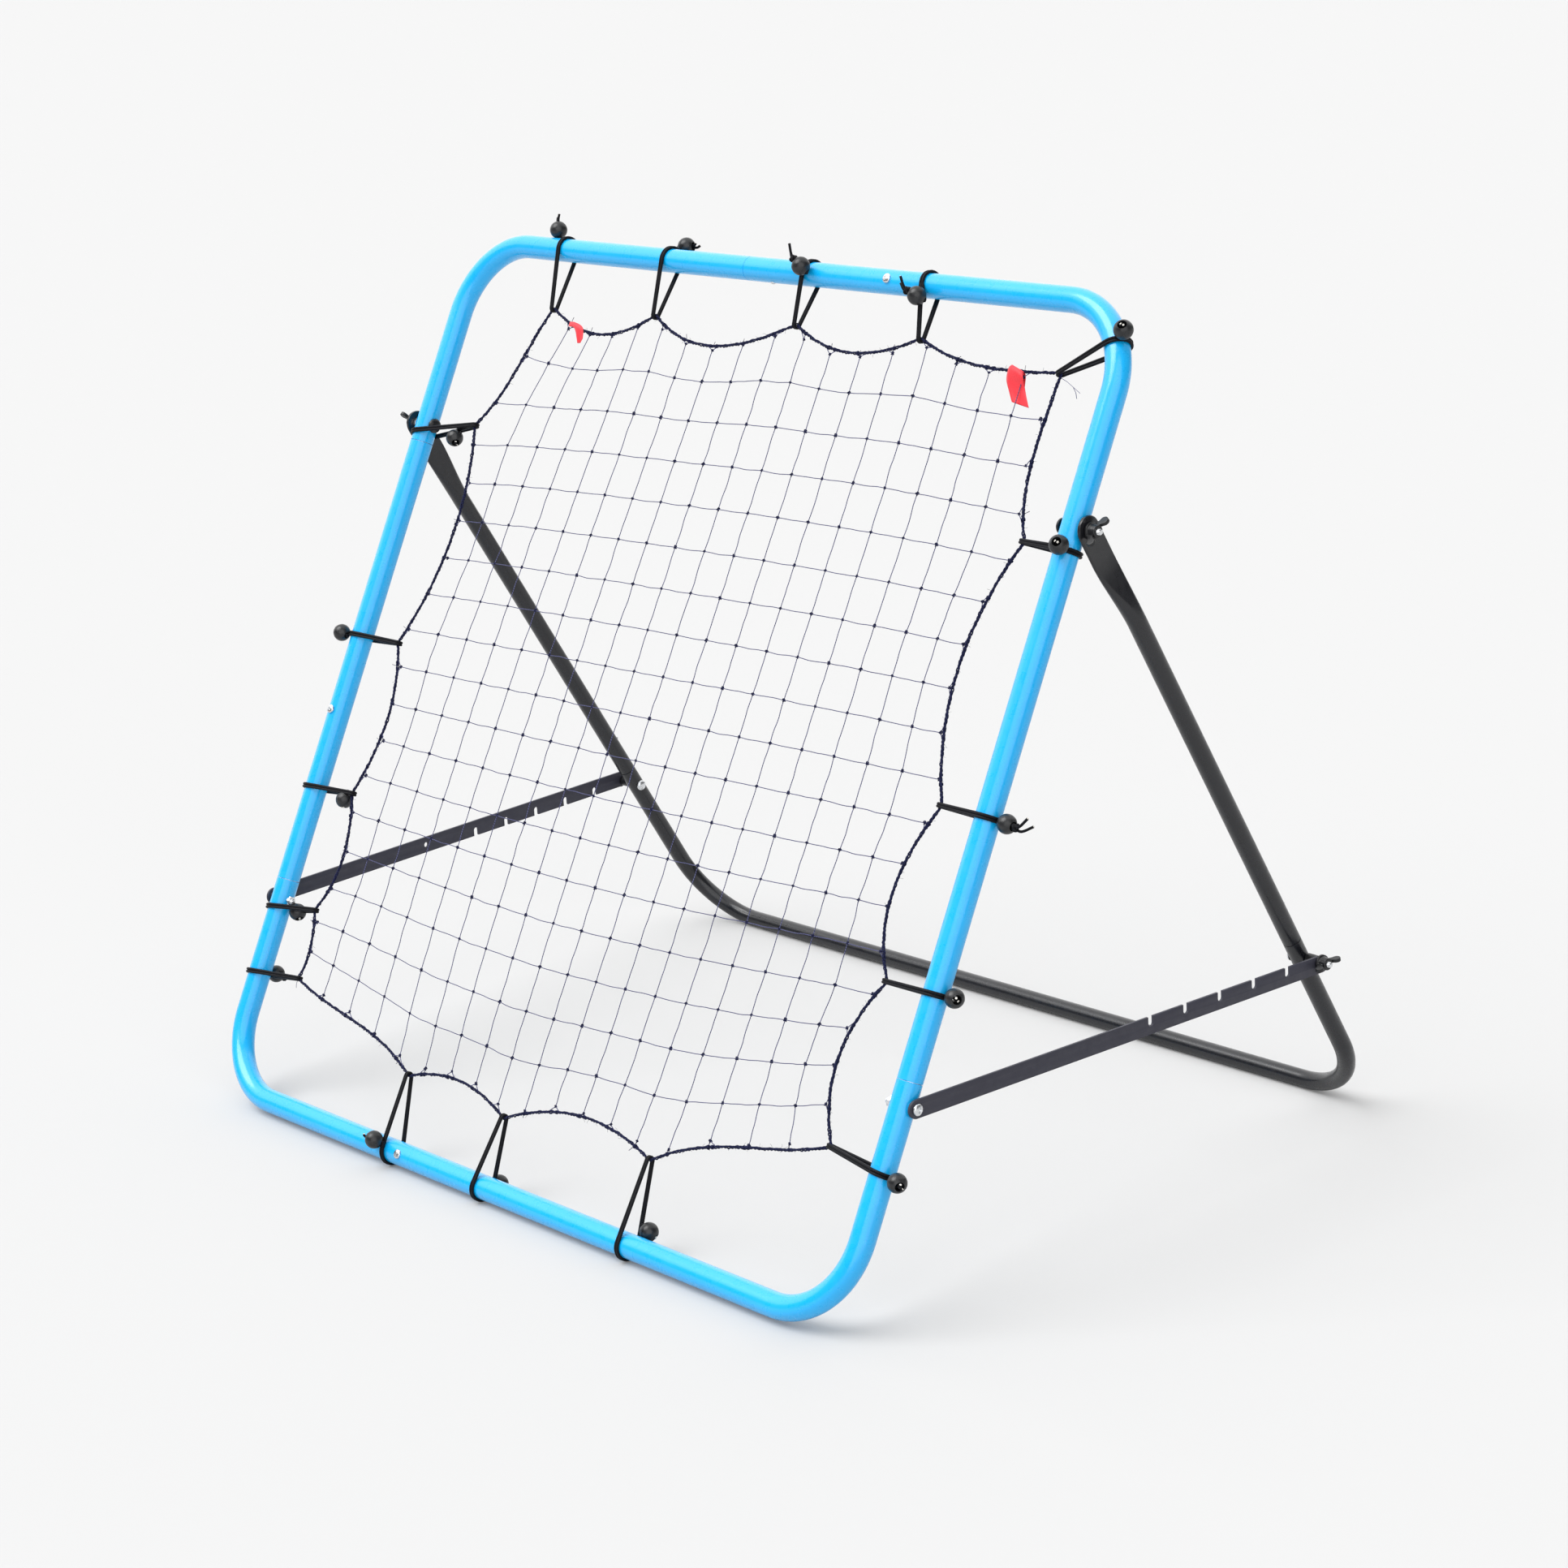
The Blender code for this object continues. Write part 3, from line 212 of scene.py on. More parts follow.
NUT_PLASTIC = moulded_plastic("black_moulded_nylon", "#0E0F12", "#1B1C20", 0.34)
BALL_PLASTIC = moulded_plastic("charcoal_moulded_polypropylene", "#1C1D1F", "#2C2D2F", 0.30)
RUBBER_CORE = moulded_plastic("white_rubber_core", "#E4E2DA", "#D2CFC4", 0.6)

ZINC, tree, shader = new_material("bright_zinc_plate")
cloud = spread(tree, grain(tree, 4, 3.0), 0.0, 1.0)
feed(shader, {"Metallic": 1.0, "Base Color": blend(tree, cloud, "#EDEEF0", "#D8DBDE"),
              "Roughness": spread(tree, grain(tree, 1.5), 0.18, 0.38),
              "Normal": dimples(tree, grain(tree, 0.8), 0.01, 0.5)})

# %% [markdown]
# Cords carry two attributes that Geometry Nodes store on them: `along`, the metres from their
# start, and `around`, from 0 to 1 round the section. A braid is two sets of waves that cross as
# they wind round the cord in opposite directions. A laid rope or twine has one set. The waves
# also set the colour: the threads' crests are painted lighter, a painted highlight, and the
# grooves between them darker, a painted shade.

# %% Braided elastic, rope and twine
def winding(tree, pitch, hand):
    """Waves that wind round a cord once in `pitch` millimetres, left- or right-handed."""
    along, around = [add(tree, "ShaderNodeAttribute", attribute_name=name).outputs["Fac"]
                     for name in ("along", "around")]
    turns = maths(tree, "ADD", maths(tree, "MULTIPLY", along, 1000 / pitch),
                  maths(tree, "MULTIPLY", around, hand))
    return maths(tree, "SINE", maths(tree, "MULTIPLY", turns, 2 * math.pi))


def cord_finish(name, dark, light, pitch, hands, depth, roughness, sheen):
    """Textile cord: its threads wind round it once in `pitch` millimetres each way."""
    material, tree, shader = new_material(name)
    height = winding(tree, pitch, hands[0])
    for hand in hands[1:]:
        height = maths(tree, "MULTIPLY", height, winding(tree, pitch, hand))
    threads = spread(tree, height, 0.0, 1.0, -1.0, 1.0)
    # The colour goes from `dark` in the grooves to `light` on the crests of the threads: painted
    # shade and a painted highlight, with a little random tone from the noise.
    share = maths(tree, "MAXIMUM", threads, spread(tree, grain(tree, 7, 4.0), 0.0, 0.5))
    feed(shader, {"Base Color": blend(tree, share, dark, light), "Roughness": roughness,
                  "Specular IOR Level": 0.15, "Sheen Weight": sheen, "Sheen Roughness": 0.4,
                  "Normal": dimples(tree, threads, depth, 0.7)})
    return material


# A cord's `light` colour is the painted highlight on its thread crests.
# The real braid's threads are 0.4 mm wide. Here they are 1.6 mm apart, as fine as shows
ELASTIC = cord_finish("black_braided_elastic", "#050507", "#12131A", 3.2, (2, -2), 0.12, 0.5, 0.03)
ROPE = cord_finish("navy_black_laid_rope", "#090B1C", "#22274E", 2.4, (1,), 0.10, 0.8, 0.05)
TWINE = cord_finish("navy_twisted_twine", "#101236", "#6C6E94", 2.5, (1,), 0.08, 0.8, 0.05)

TAG_RED, tree, shader = new_material("red_woven_ribbon")
weave = spread(tree, grain(tree, 0.9, 1.0), 0.0, 1.0)
feed(shader, {"Base Color": blend(tree, weave, "#E01C2C", "#EE2C3A"), "Roughness": 0.55,
              "Sheen Weight": 0.2, "Normal": dimples(tree, weave, 0.06, 0.6)})
print("finishes:", len(bpy.data.materials))

# %% [markdown]
# ## Turning a mesh into a piece
# A piece is ready when its modifiers are baked into a plain mesh, it rides on a body of the
# model, it carries its finish as its material, and the nodes that it stands for are hidden.


def add_object(name, mesh, material=None):
    obj = bpy.data.objects.new(name, mesh)
    bpy.context.scene.collection.objects.link(obj)
    if material:
        mesh.materials.clear()
        mesh.materials.append(material)
    return obj


def modify(obj, kind, **settings):
    """Add a modifier with its settings."""
    modifier = obj.modifiers.new(kind.lower(), kind)
    for key, value in settings.items():
        setattr(modifier, key, value)


def harden(obj):
    """Bake an object's modifiers into a plain mesh."""
    graph = bpy.context.evaluated_depsgraph_get()
    mesh = bpy.data.meshes.new_from_object(obj.evaluated_get(graph),
                                           preserve_all_data_layers=True, depsgraph=graph)
    obj.modifiers.clear()
    obj.data = mesh
    return obj


def shape_of(obj):
    """Keep an object's mesh and remove the object."""
    mesh = obj.data
    bpy.data.objects.remove(obj)
    return mesh


def tidy(mesh, merge=1e-7, sharp=38):
    """Merge doubles, close up poles, turn the faces outwards and smooth the round ones."""
    bm = bmesh.new()
    bm.from_mesh(mesh)
    bmesh.ops.remove_doubles(bm, verts=bm.verts, dist=merge)
    bmesh.ops.dissolve_degenerate(bm, edges=bm.edges, dist=merge)
    bmesh.ops.recalc_face_normals(bm, faces=bm.faces)
    bm.to_mesh(mesh)
    bm.free()
    mesh.shade_smooth()
    mesh.set_sharp_from_angle(angle=math.radians(sharp))
    return mesh


def loft(rings, closed=False):
    """A mesh through rings with as many points each. An open row of rings gets end caps."""
    rings = np.asarray(rings, float)
    count, around = rings.shape[:2]
    faces = []
    for i in range(count if closed else count - 1):
        low, high = i * around, (i + 1) % count * around
        for j in range(around):
            k = (j + 1) % around
            faces.append((low + j, low + k, high + k, high + j))
    if not closed:
        faces += [tuple(range(around)), tuple(range((count - 1) * around, count * around))]
    mesh = bpy.data.meshes.new("loft")
    mesh.from_pydata(rings.reshape(-1, 3).tolist(), [], faces)
    return tidy(mesh)


def circle(steps):
    """Even angles round one turn."""
    return [2 * math.pi * k / steps for k in range(steps)]


def polar(r, t, z):
    return (r * math.cos(t), r * math.sin(t), z)


def turned(profile, steps=48, closed=False):
    """Turn (radius, height) points about Z."""
    return loft([[polar(r, t, h) for t in circle(steps)] for r, h in profile], closed)


def placed(mesh, matrix):
    """A copy of a mesh, moved to its place."""
    moved = mesh.copy()
    moved.transform(matrix)
    return moved


def joined(meshes, sharp=38):
    """Several meshes as one."""
    bm = bmesh.new()
    for mesh in meshes:
        bm.from_mesh(mesh)
    out = bpy.data.meshes.new("joined")
    bm.to_mesh(out)
    bm.free()
    out.shade_smooth()
    out.set_sharp_from_angle(angle=math.radians(sharp))
    return out


def settle(obj, body, *nodes):
    """Let a finished piece ride on its body and stand for its nodes."""
    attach(obj, body)
    if nodes:
        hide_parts(*nodes)
    print(f"{obj.name}: {len(obj.data.polygons)} faces, on {body}")


def fit(name, mesh, place, material, body, *nodes):
    """Set a finished shape in its place."""
    settle(add_object(name, placed(mesh, place), material), body, *nodes)


# %% [markdown]
# ## Geometry Nodes: four trees do the repeated work
# 1. `bent_tube` bends a corner line and sweeps a circle along it, as a tube bender does.
# 2. `cord` sweeps a cord along a line and stores the attributes that its finish reads.
# 3. `laid_rope` copies a line into strands and winds them round it.
# 4. `scatter` sets copies of a small shape on points, each turned to its own direction.
#
# Each tree has named inputs for its sizes. A modifier's inputs are set by their identifiers,
# because two inputs may share a name. Every tree ends in Realize Instances and Set Material.

# %% Build and run a tree
SOCKETS = {"number": "NodeSocketFloat", "count": "NodeSocketInt", "object": "NodeSocketObject",
           "material": "NodeSocketMaterial"}


def new_tree(name, inputs):
    tree = bpy.data.node_groups.new(name, "GeometryNodeTree")
    tree.interface.new_socket("Geometry", in_out="INPUT", socket_type="NodeSocketGeometry")
    for label, kind in (inputs | {"Material": "material"}).items():
        tree.interface.new_socket(label, in_out="INPUT", socket_type=SOCKETS[kind])
    tree.interface.new_socket("Geometry", in_out="OUTPUT", socket_type="NodeSocketGeometry")
    return tree, add(tree, "NodeGroupInput").outputs


def end_tree(tree, shape, given):
    real = add(tree, "GeometryNodeRealizeInstances", {"Geometry": shape})
    smooth = add(tree, "GeometryNodeSetShadeSmooth", {"Geometry": real.outputs[0]})
    painted = add(tree, "GeometryNodeSetMaterial", {"Geometry": smooth.outputs[0],
                                                    "Material": given["Material"]})
    add(tree, "NodeGroupOutput", {"Geometry": painted.outputs[0]})


def grow(name, mesh, tree, values):
    """Run a tree on a mesh and keep the result as a plain mesh."""
    obj = add_object(name, mesh)
    grower = obj.modifiers.new(tree.name, "NODES")
    grower.node_group = tree
    for item in tree.interface.items_tree:
        if item.in_out == "INPUT" and item.name in values:
            grower[item.identifier] = values[item.name]
    return harden(obj)


def lines(runs, closed=False):
    """A mesh of edges along one or more runs of points."""
    points, edges = [], []
    for run in runs:
        first = len(points)
        points += [tuple(point) for point in run]
        edges += [(i, i + 1) for i in range(first, len(points) - 1)]
        if closed:
            edges.append((len(points) - 1, first))
    mesh = bpy.data.meshes.new("lines")
    mesh.from_pydata(points, edges, [])
    return mesh


# %% The tube bender
tube_tree, given = new_tree("bent_tube", {"Radius": "number", "Bend radius": "number"})
line = add(tube_tree, "GeometryNodeMeshToCurve", {"Mesh": given["Geometry"]}).outputs[0]
bent = add(tube_tree, "GeometryNodeFilletCurve", {"Curve": line, "Count": 30,
                                                  "Radius": given["Bend radius"]}, mode="POLY")
ring = add(tube_tree, "GeometryNodeCurvePrimitiveCircle", {"Resolution": 40,
                                                           "Radius": given["Radius"]})
skin = add(tube_tree, "GeometryNodeCurveToMesh", {"Curve": bent.outputs[0],
                                                  "Profile Curve": ring.outputs[0]})
end_tree(tube_tree, skin.outputs[0], given)


# %% The cord and its attributes
def note(tree, shape, name, value):
    """Store a number on each point."""
    return add(tree, "GeometryNodeStoreNamedAttribute",
               {"Geometry": shape, "Name": name, "Value": value}, domain="POINT").outputs[0]


def sweep_cord(tree, line, radius, sides):
    """Sweep a section along lines, and store `along` and `around` for the finish."""
    spline = add(tree, "GeometryNodeSplineParameter").outputs
    ring = add(tree, "GeometryNodeCurvePrimitiveCircle", {"Resolution": sides, "Radius": radius})
    section = note(tree, ring.outputs[0], "around", spline["Factor"])
    return add(tree, "GeometryNodeCurveToMesh",
               {"Curve": note(tree, line, "along", spline["Length"]), "Fill Caps": True,
                "Profile Curve": section}).outputs[0]


cord_tree, given = new_tree("cord", {"Radius": "number", "Step": "number", "Sides": "count"})
line = add(cord_tree, "GeometryNodeMeshToCurve", {"Mesh": given["Geometry"]}).outputs[0]
even = add(cord_tree, "GeometryNodeResampleCurve", {"Curve": line, "Length": given["Step"]},
           mode="LENGTH")
end_tree(cord_tree, sweep_cord(cord_tree, even.outputs[0], given["Radius"], given["Sides"]), given)


def stray(tree, inputs, **settings):
    """A smooth random vector round zero."""
    noise = add(tree, "ShaderNodeTexNoise", inputs, **settings).outputs["Color"]
    return vectors(tree, "SUBTRACT", noise, (0.5, 0.5, 0.5))


# %% The rope walk
rope_tree, given = new_tree("laid_rope", {"Strands": "count", "Strand radius": "number",
                                          "Lay radius": "number", "Turns": "number",
                                          "Looseness": "number"})
line = add(rope_tree, "GeometryNodeMeshToCurve", {"Mesh": given["Geometry"]}).outputs[0]
copies = add(rope_tree, "GeometryNodeDuplicateElements",
             {"Geometry": line, "Amount": given["Strands"]}, domain="SPLINE").outputs
share = add(rope_tree, "GeometryNodeSplineParameter").outputs["Factor"]
turns = maths(rope_tree, "ADD", maths(rope_tree, "MULTIPLY", share, given["Turns"]),
              maths(rope_tree, "DIVIDE", copies["Duplicate Index"], given["Strands"]))
angle = maths(rope_tree, "MULTIPLY", turns, 2 * math.pi)
tangent = add(rope_tree, "GeometryNodeInputTangent").outputs[0]
aside = vectors(rope_tree, "CROSS_PRODUCT", tangent, tuple(FRONT))
lay = vectors(rope_tree, "ADD",
              vectors(rope_tree, "SCALE", aside, Scale=maths(rope_tree, "COSINE", angle)),
              vectors(rope_tree, "SCALE", tuple(FRONT), Scale=maths(rope_tree, "SINE", angle)))
loose = stray(rope_tree, {"W": copies["Duplicate Index"], "Scale": 90.0}, noise_dimensions="4D")
offset = vectors(rope_tree, "ADD", vectors(rope_tree, "SCALE", lay, Scale=given["Lay radius"]),
                 vectors(rope_tree, "SCALE", loose, Scale=given["Looseness"]))
strands = add(rope_tree, "GeometryNodeSetPosition", {"Geometry": copies["Geometry"],
                                                     "Offset": offset}).outputs[0]
end_tree(rope_tree, sweep_cord(rope_tree, strands, given["Strand radius"], 5), given)

# %% Small shapes set on points
scatter_tree, given = new_tree("scatter", {"Shape": "object", "Smallest": "number",
                                           "Largest": "number", "Seed": "count"})
aim = add(scatter_tree, "GeometryNodeInputNamedAttribute", {"Name": "aim"},
          data_type="FLOAT_VECTOR").outputs[0]
aimed = add(scatter_tree, "FunctionNodeAlignRotationToVector", {"Vector": aim}, axis="Z")
spin = add(scatter_tree, "FunctionNodeRandomValue", {2: 0.0, 3: 2 * math.pi,
                                                     "Seed": given["Seed"]}, data_type="FLOAT")
about = add(scatter_tree, "FunctionNodeAxisAngleToRotation", {"Axis": (0, 0, 1),
                                                              "Angle": spin.outputs[1]})
turned_by = add(scatter_tree, "FunctionNodeRotateRotation",
                {"Rotation": aimed.outputs[0], "Rotate By": about.outputs[0]},
                rotation_space="LOCAL")
size = add(scatter_tree, "FunctionNodeRandomValue",
           {2: given["Smallest"], 3: given["Largest"],
            "Seed": maths(scatter_tree, "ADD", given["Seed"], 1.0)}, data_type="FLOAT")
shape = add(scatter_tree, "GeometryNodeObjectInfo", {"Object": given["Shape"]})
copies = add(scatter_tree, "GeometryNodeInstanceOnPoints",
             {"Points": given["Geometry"], "Instance": shape.outputs["Geometry"],
              "Rotation": turned_by.outputs[0], "Scale": size.outputs[1]})
end_tree(scatter_tree, copies.outputs[0], given)


def scatter(name, shape_mesh, spots, aims, material, smallest=1.0, largest=1.0, seed=1):
    """Copies of a shape, its Z turned to an aim at each spot."""
    points = bpy.data.meshes.new("spots")
    points.from_pydata([tuple(spot) for spot in spots], [], [])
    aim = points.attributes.new("aim", "FLOAT_VECTOR", "POINT")
    aim.data.foreach_set("vector", [number for one in aims for number in one])
    pattern = add_object("pattern", shape_mesh)
    out = grow(name, points, scatter_tree, {"Shape": pattern, "Smallest": smallest,
                                            "Largest": largest, "Seed": seed,
                                            "Material": material})
    bpy.data.objects.remove(pattern)
    return out


# %% [markdown]
# ## The blue frame
# Five tubes, each cut square and pushed on an inner sleeve. The corners are bends of one radius,
# so a tube is a line with a corner in it, filleted. Solidify gives it a real wall, and a tiny
# Bevel breaks the cut edge, which is what makes the seams show as fine lines.

# %% Bend the five frame tubes
TUBE_WALL = 0.0012
TUBE_EDGE = 0.0003
TUBE_SHARP = math.radians(15)
FRAME_BEND_R = 0.084
SIDE_SEAM_LOW = 0.234
SIDE_SEAM_HIGH = 0.741
TOP_SEAM_X = -0.042
SEAM = 0.0002               # half the open seam between two tube ends


def break_edges(obj, width):
    """Bevel the sharp edges a little."""
    modify(obj, "BEVEL", width=width, segments=2, limit_method="ANGLE",
           angle_limit=math.radians(50))


def tube_piece(name, points, radius, bend, material, body, node):
    obj = grow(name, lines([points]), tube_tree, {"Radius": radius, "Bend radius": bend,
                                                  "Material": material})
    tidy(obj.data)
    modify(obj, "SOLIDIFY", thickness=TUBE_WALL, offset=-1)
    break_edges(obj, TUBE_EDGE)
    harden(obj)
    obj.data.shade_smooth()
    obj.data.set_sharp_from_angle(angle=TUBE_SHARP)    # the long faces keep true normals
    settle(obj, body, node)


frame_lines = {
    "top_left": [(-HALF, SIDE_SEAM_HIGH + SEAM), (-HALF, FRAME_SPAN),
                 (TOP_SEAM_X - SEAM, FRAME_SPAN)],
    "top_right": [(HALF, SIDE_SEAM_HIGH + SEAM), (HALF, FRAME_SPAN),
                  (TOP_SEAM_X + SEAM, FRAME_SPAN)],
    "side_left": [(-HALF, SIDE_SEAM_LOW + SEAM), (-HALF, SIDE_SEAM_HIGH - SEAM)],
    "side_right": [(HALF, SIDE_SEAM_LOW + SEAM), (HALF, SIDE_SEAM_HIGH - SEAM)],
    "bottom": [(-HALF, SIDE_SEAM_LOW - SEAM), (-HALF, 0), (HALF, 0),
               (HALF, SIDE_SEAM_LOW - SEAM)],
}
for part, corners in frame_lines.items():
    tube_piece("blue_tube_" + part, [frame_spot(x, v) for x, v in corners], FRAME_TUBE_R,
               FRAME_BEND_R, BLUE_COAT, "frame", "frame_tube_" + part)

# %% [markdown]
# ## The folding leg
# The floor bar and both lower legs are one bent tube. Each upper tube is pressed flat round its
# pivot hole. A pressed tube keeps the length round its section, so a half-pressed section is two
# straight lines joined by two half circles, whose radius is half the thickness that is left.

# %% Bend the floor bar
LEG_TUBE_R = 0.0095
LEG_LENGTH = 0.776
LEG_BEND_R = 0.085
LEG_SEAM = 0.540
FLAT_THICK = 0.003
FLAT_HALF_WIDTH = 0.014
FLAT_LENGTH = 0.036
FLAT_FADE = 0.075
LEG_TUBE_SET = 0.0057       # round tube's centre outside the middle of its flat
GAP = 0.0003
PIVOT_SPACER = 0.0036
FRAME_OUT_X = HALF + FRAME_TUBE_R
FLAT_MID_X = FRAME_OUT_X + 2 * GAP + PIVOT_SPACER + FLAT_THICK / 2
LEG_X = FLAT_MID_X + LEG_TUBE_SET
LEG_OUT_X = LEG_X + LEG_TUBE_R

floor_line = [(-LEG_X, LEG_SEAM + SEAM), (-LEG_X, LEG_LENGTH), (LEG_X, LEG_LENGTH),
              (LEG_X, LEG_SEAM + SEAM)]
tube_piece("black_floor_bar", [leg_spot(x, a) for x, a in floor_line], LEG_TUBE_R, LEG_BEND_R,
           BLACK_COAT, "leg", "leg_floor_bar")


# %% Press the upper leg tubes
def pressed_section(half_thick, count=56):
    """(thickness, width) points round a tube that is pressed to a thickness."""
    straight = math.pi * (LEG_TUBE_R - half_thick)
    curve = math.pi * half_thick
    points = []
    for k in range(count):
        run = 2 * (straight + curve) * k / count
        side = 1 if run < straight + curve else -1
        run -= 0 if side == 1 else straight + curve
        if run < straight:
            points.append((side * half_thick, side * (run - straight / 2)))
        else:
            t = (run - straight) / half_thick
            points.append((side * half_thick * math.cos(t),
                           side * (straight / 2 + half_thick * math.sin(t))))
    return points


def leg_ring(sx, a):
    share = min(max((a - FLAT_LENGTH) / FLAT_FADE, 0), 1)
    fade = 0.35 * share + 0.65 * share * share * (3 - 2 * share)
    half_thick = FLAT_THICK / 2 + (LEG_TUBE_R - FLAT_THICK / 2) * fade
    section = pressed_section(half_thick)
    narrow = math.sqrt(max(1 - (a / FLAT_HALF_WIDTH) ** 2, 0)) if a < 0 else 1
    cut = 0.97 if a > LEG_SEAM - 2 * SEAM else 1
    centre = FLAT_MID_X + LEG_TUBE_SET * fade
    return [leg_spot(sx * (centre + cut * x), a, cut * narrow * m) for x, m in section]


head = [-FLAT_HALF_WIDTH * math.sin(math.radians(t)) for t in (88, 80, 70, 60, 48, 36, 24, 12)]
fade_steps = [FLAT_LENGTH + FLAT_FADE * i / 30 for i in range(31)]
stations = head + [0, 0.018] + fade_steps + [0.2, 0.35, LEG_SEAM - 3 * SEAM, LEG_SEAM - SEAM]
for side, sx in SIDES.items():
    mesh = loft([leg_ring(sx, a) for a in stations])
    mesh.set_sharp_from_angle(angle=math.radians(30))
    settle(add_object("black_leg_tube_" + side, mesh, BLACK_COAT), "leg", "leg_tube_upper_" + side)

# %% [markdown]
# ## The notched side bars
# Flat steel strip, stamped with round ends and six open notches, so a 2D curve that is filled and
# extruded is the natural tool. The left bar has its notches below and one spare hole.

# %% Stamp the bars
BAR_THICK = 0.0025
BAR_EDGE = 0.00035
BAR_HEIGHT = 0.018
BAR_WASHER = 0.0023
BAR_SKEW_CLEAR = 0.0005
BAR_SPACER = 0.0133
NOTCHES = 6
NOTCH_PITCH = 0.0475
NOTCH_WIDTH = 0.0066
NOTCH_DEPTH = 0.0098
BAR_SPARE_HOLE = 0.222
BOLT_R = 0.003
BAR_FRONT_X = FRAME_OUT_X + GAP + BAR_WASHER + BAR_SKEW_CLEAR + BAR_THICK / 2
BAR_REAR_X = LEG_OUT_X + 3 * GAP + BAR_SPACER + GAP + BAR_THICK / 2
NOTCH_OFFSET = BAR_HEIGHT / 2 - NOTCH_DEPTH + NOTCH_WIDTH / 2


def arc(centre, radius, start, end, steps):
    """Points of a 2D arc between two angles in degrees."""
    angles = [math.radians(start + (end - start) * i / steps) for i in range(steps + 1)]
    return [(centre[0] + radius * math.cos(t), centre[1] + radius * math.sin(t)) for t in angles]


def bar_axes(sx):
    """The bar's own axes at its front screw, X along the bar, and its length to the leg bolt."""
    front = frame_spot(sx * BAR_FRONT_X, BAR_PIVOT_V)
    reach = leg_spot(sx * BAR_REAR_X, BAR_BOLT_A) - front
    flat_reach = math.hypot(reach.y, reach.z)
    pitch = math.atan2(reach.z, reach.y) - sx * math.asin(NOTCH_OFFSET / flat_reach)
    toe = math.atan2(sx * reach.x, flat_reach)
    turn = Matrix.Rotation(pitch, 4, "X") @ Matrix.Rotation(math.pi / 2 - sx * toe, 4, "Z")
    return Matrix.Translation(front) @ turn, math.sqrt(reach.length ** 2 - NOTCH_OFFSET ** 2)


def leg_bolt_axes(sx):
    """The leg bolt's axes where it leaves the bar's outer face, Z along the bolt."""
    axes, length = bar_axes(sx)
    face = Vector((length, -sx * BAR_THICK / 2, NOTCH_OFFSET * sx))
    return axes @ Matrix.Translation(face) @ Matrix.Rotation(math.pi / 2 * sx, 4, "X")


def bar_outline(length, sx):
    """The left bar's notches are below and the right bar's above, so sx is their side too."""
    half = BAR_HEIGHT / 2
    points = arc((0, 0), half, 270, 90, 28)
    for i in reversed(range(NOTCHES)):
        x = length - i * NOTCH_PITCH
        points.append((x - NOTCH_WIDTH / 2, half))
        points += arc((x, NOTCH_OFFSET), NOTCH_WIDTH / 2, 180, 360, 14)
        points.append((x + NOTCH_WIDTH / 2, half))
    points += arc((length + NOTCH_WIDTH / 2, 0), half, 75, -90, 24)
    return [(x, sx * z) for x, z in points]


def stamped(outlines, thickness, edge):
    """A flat plate in XY from closed outlines, with its edges broken."""
    curve = bpy.data.curves.new("plate", "CURVE")
    curve.dimensions = "2D"
    curve.fill_mode = "BOTH"
    curve.extrude = thickness / 2
    for outline in outlines:
        spline = curve.splines.new("POLY")
        spline.points.add(len(outline) - 1)
        for spot, (x, y) in zip(spline.points, outline):
            spot.co = (x, y, 0, 1)
        spline.use_cyclic_u = True
    plate = add_object("plate", bpy.data.meshes.new_from_object(add_object("outline", curve)))
    bpy.data.objects.remove(bpy.data.objects["outline"])
    tidy(plate.data, 1e-6)
    break_edges(plate, edge)
    return tidy(shape_of(harden(plate)), 1e-7, 45)


STAND = Matrix.Rotation(math.pi / 2, 4, "X")
for side, sx in SIDES.items():
    axes, length = bar_axes(sx)
    outlines = [bar_outline(length, sx), arc((0, 0), BOLT_R + 2 * GAP, 0, 345, 23)]
    if side == "left":
        outlines.append(arc((BAR_SPARE_HOLE, 0), BOLT_R, 0, 345, 23))
    fit("notched_bar_" + side, stamped(outlines, BAR_THICK, BAR_EDGE), axes @ STAND, GREY_COAT,
        "bar_" + side, "side_bar_" + side)

# %% [markdown]
# ## Bolts, screws, nuts and washers
# Turned parts are a profile spun about Z. A thread is a spun profile whose radius also rises and
# falls with the angle, so that its crests climb one pitch a turn. A hexagon's radius depends on
# the angle as well, and the smaller of it and a cone gives the chamfered corners of a nut.

# %% Shapes of the fasteners
THREAD_DEPTH = 0.0005


def bolt_end(start, length, thread, pitch=0.001):
    """Rings of a plain shank and a threaded, chamfered end along Z."""
    angles = circle(24)
    rings = [[polar(BOLT_R, t, start) for t in angles]]
    steps = round(thread / pitch * 6)
    for i in range(steps + 1):
        z = length - thread + thread * i / steps
        crest = min(BOLT_R, BOLT_R * 0.72 + length - z)
        rings.append([])
        for t in angles:
            wave = abs((z / pitch - t / (2 * math.pi)) % 1 * 2 - 1)
            r = crest - THREAD_DEPTH * wave * min(1, (z - length + thread) / pitch)
            rings[-1].append(polar(r, t, z))
    return rings


def hex_nut(across, height):
    """A nut on Z with chamfered corners and an open bore."""
    def ring(z, cone):
        out = []
        for t in circle(72):
            flat = across / 2 / math.cos((t + math.pi / 6) % (math.pi / 3) - math.pi / 6)
            out.append(polar(min(flat, cone), t, z))
        return out

    face, corner, bore = across / 2 * 0.97, across / 2 * 1.16, BOLT_R + GAP / 2
    return loft([ring(0, bore), ring(0, face), ring(0.0009, corner), ring(height - 0.0009, corner),
                 ring(height, face), ring(height, bore)], closed=True)


def washer(outer, thickness, inner=BOLT_R + GAP):
    edge = 0.0002
    return turned([(inner, 0), (outer - edge, 0), (outer, edge), (outer, thickness - edge),
                   (outer - edge, thickness), (inner, thickness)], closed=True)


def slab(size, centre):
    bm = bmesh.new()
    place = Matrix.Translation(centre) @ Matrix.Diagonal((*size, 1))
    bmesh.ops.create_cube(bm, size=1, matrix=place)
    mesh = bpy.data.meshes.new("slab")
    bm.to_mesh(mesh)
    bm.free()
    return mesh


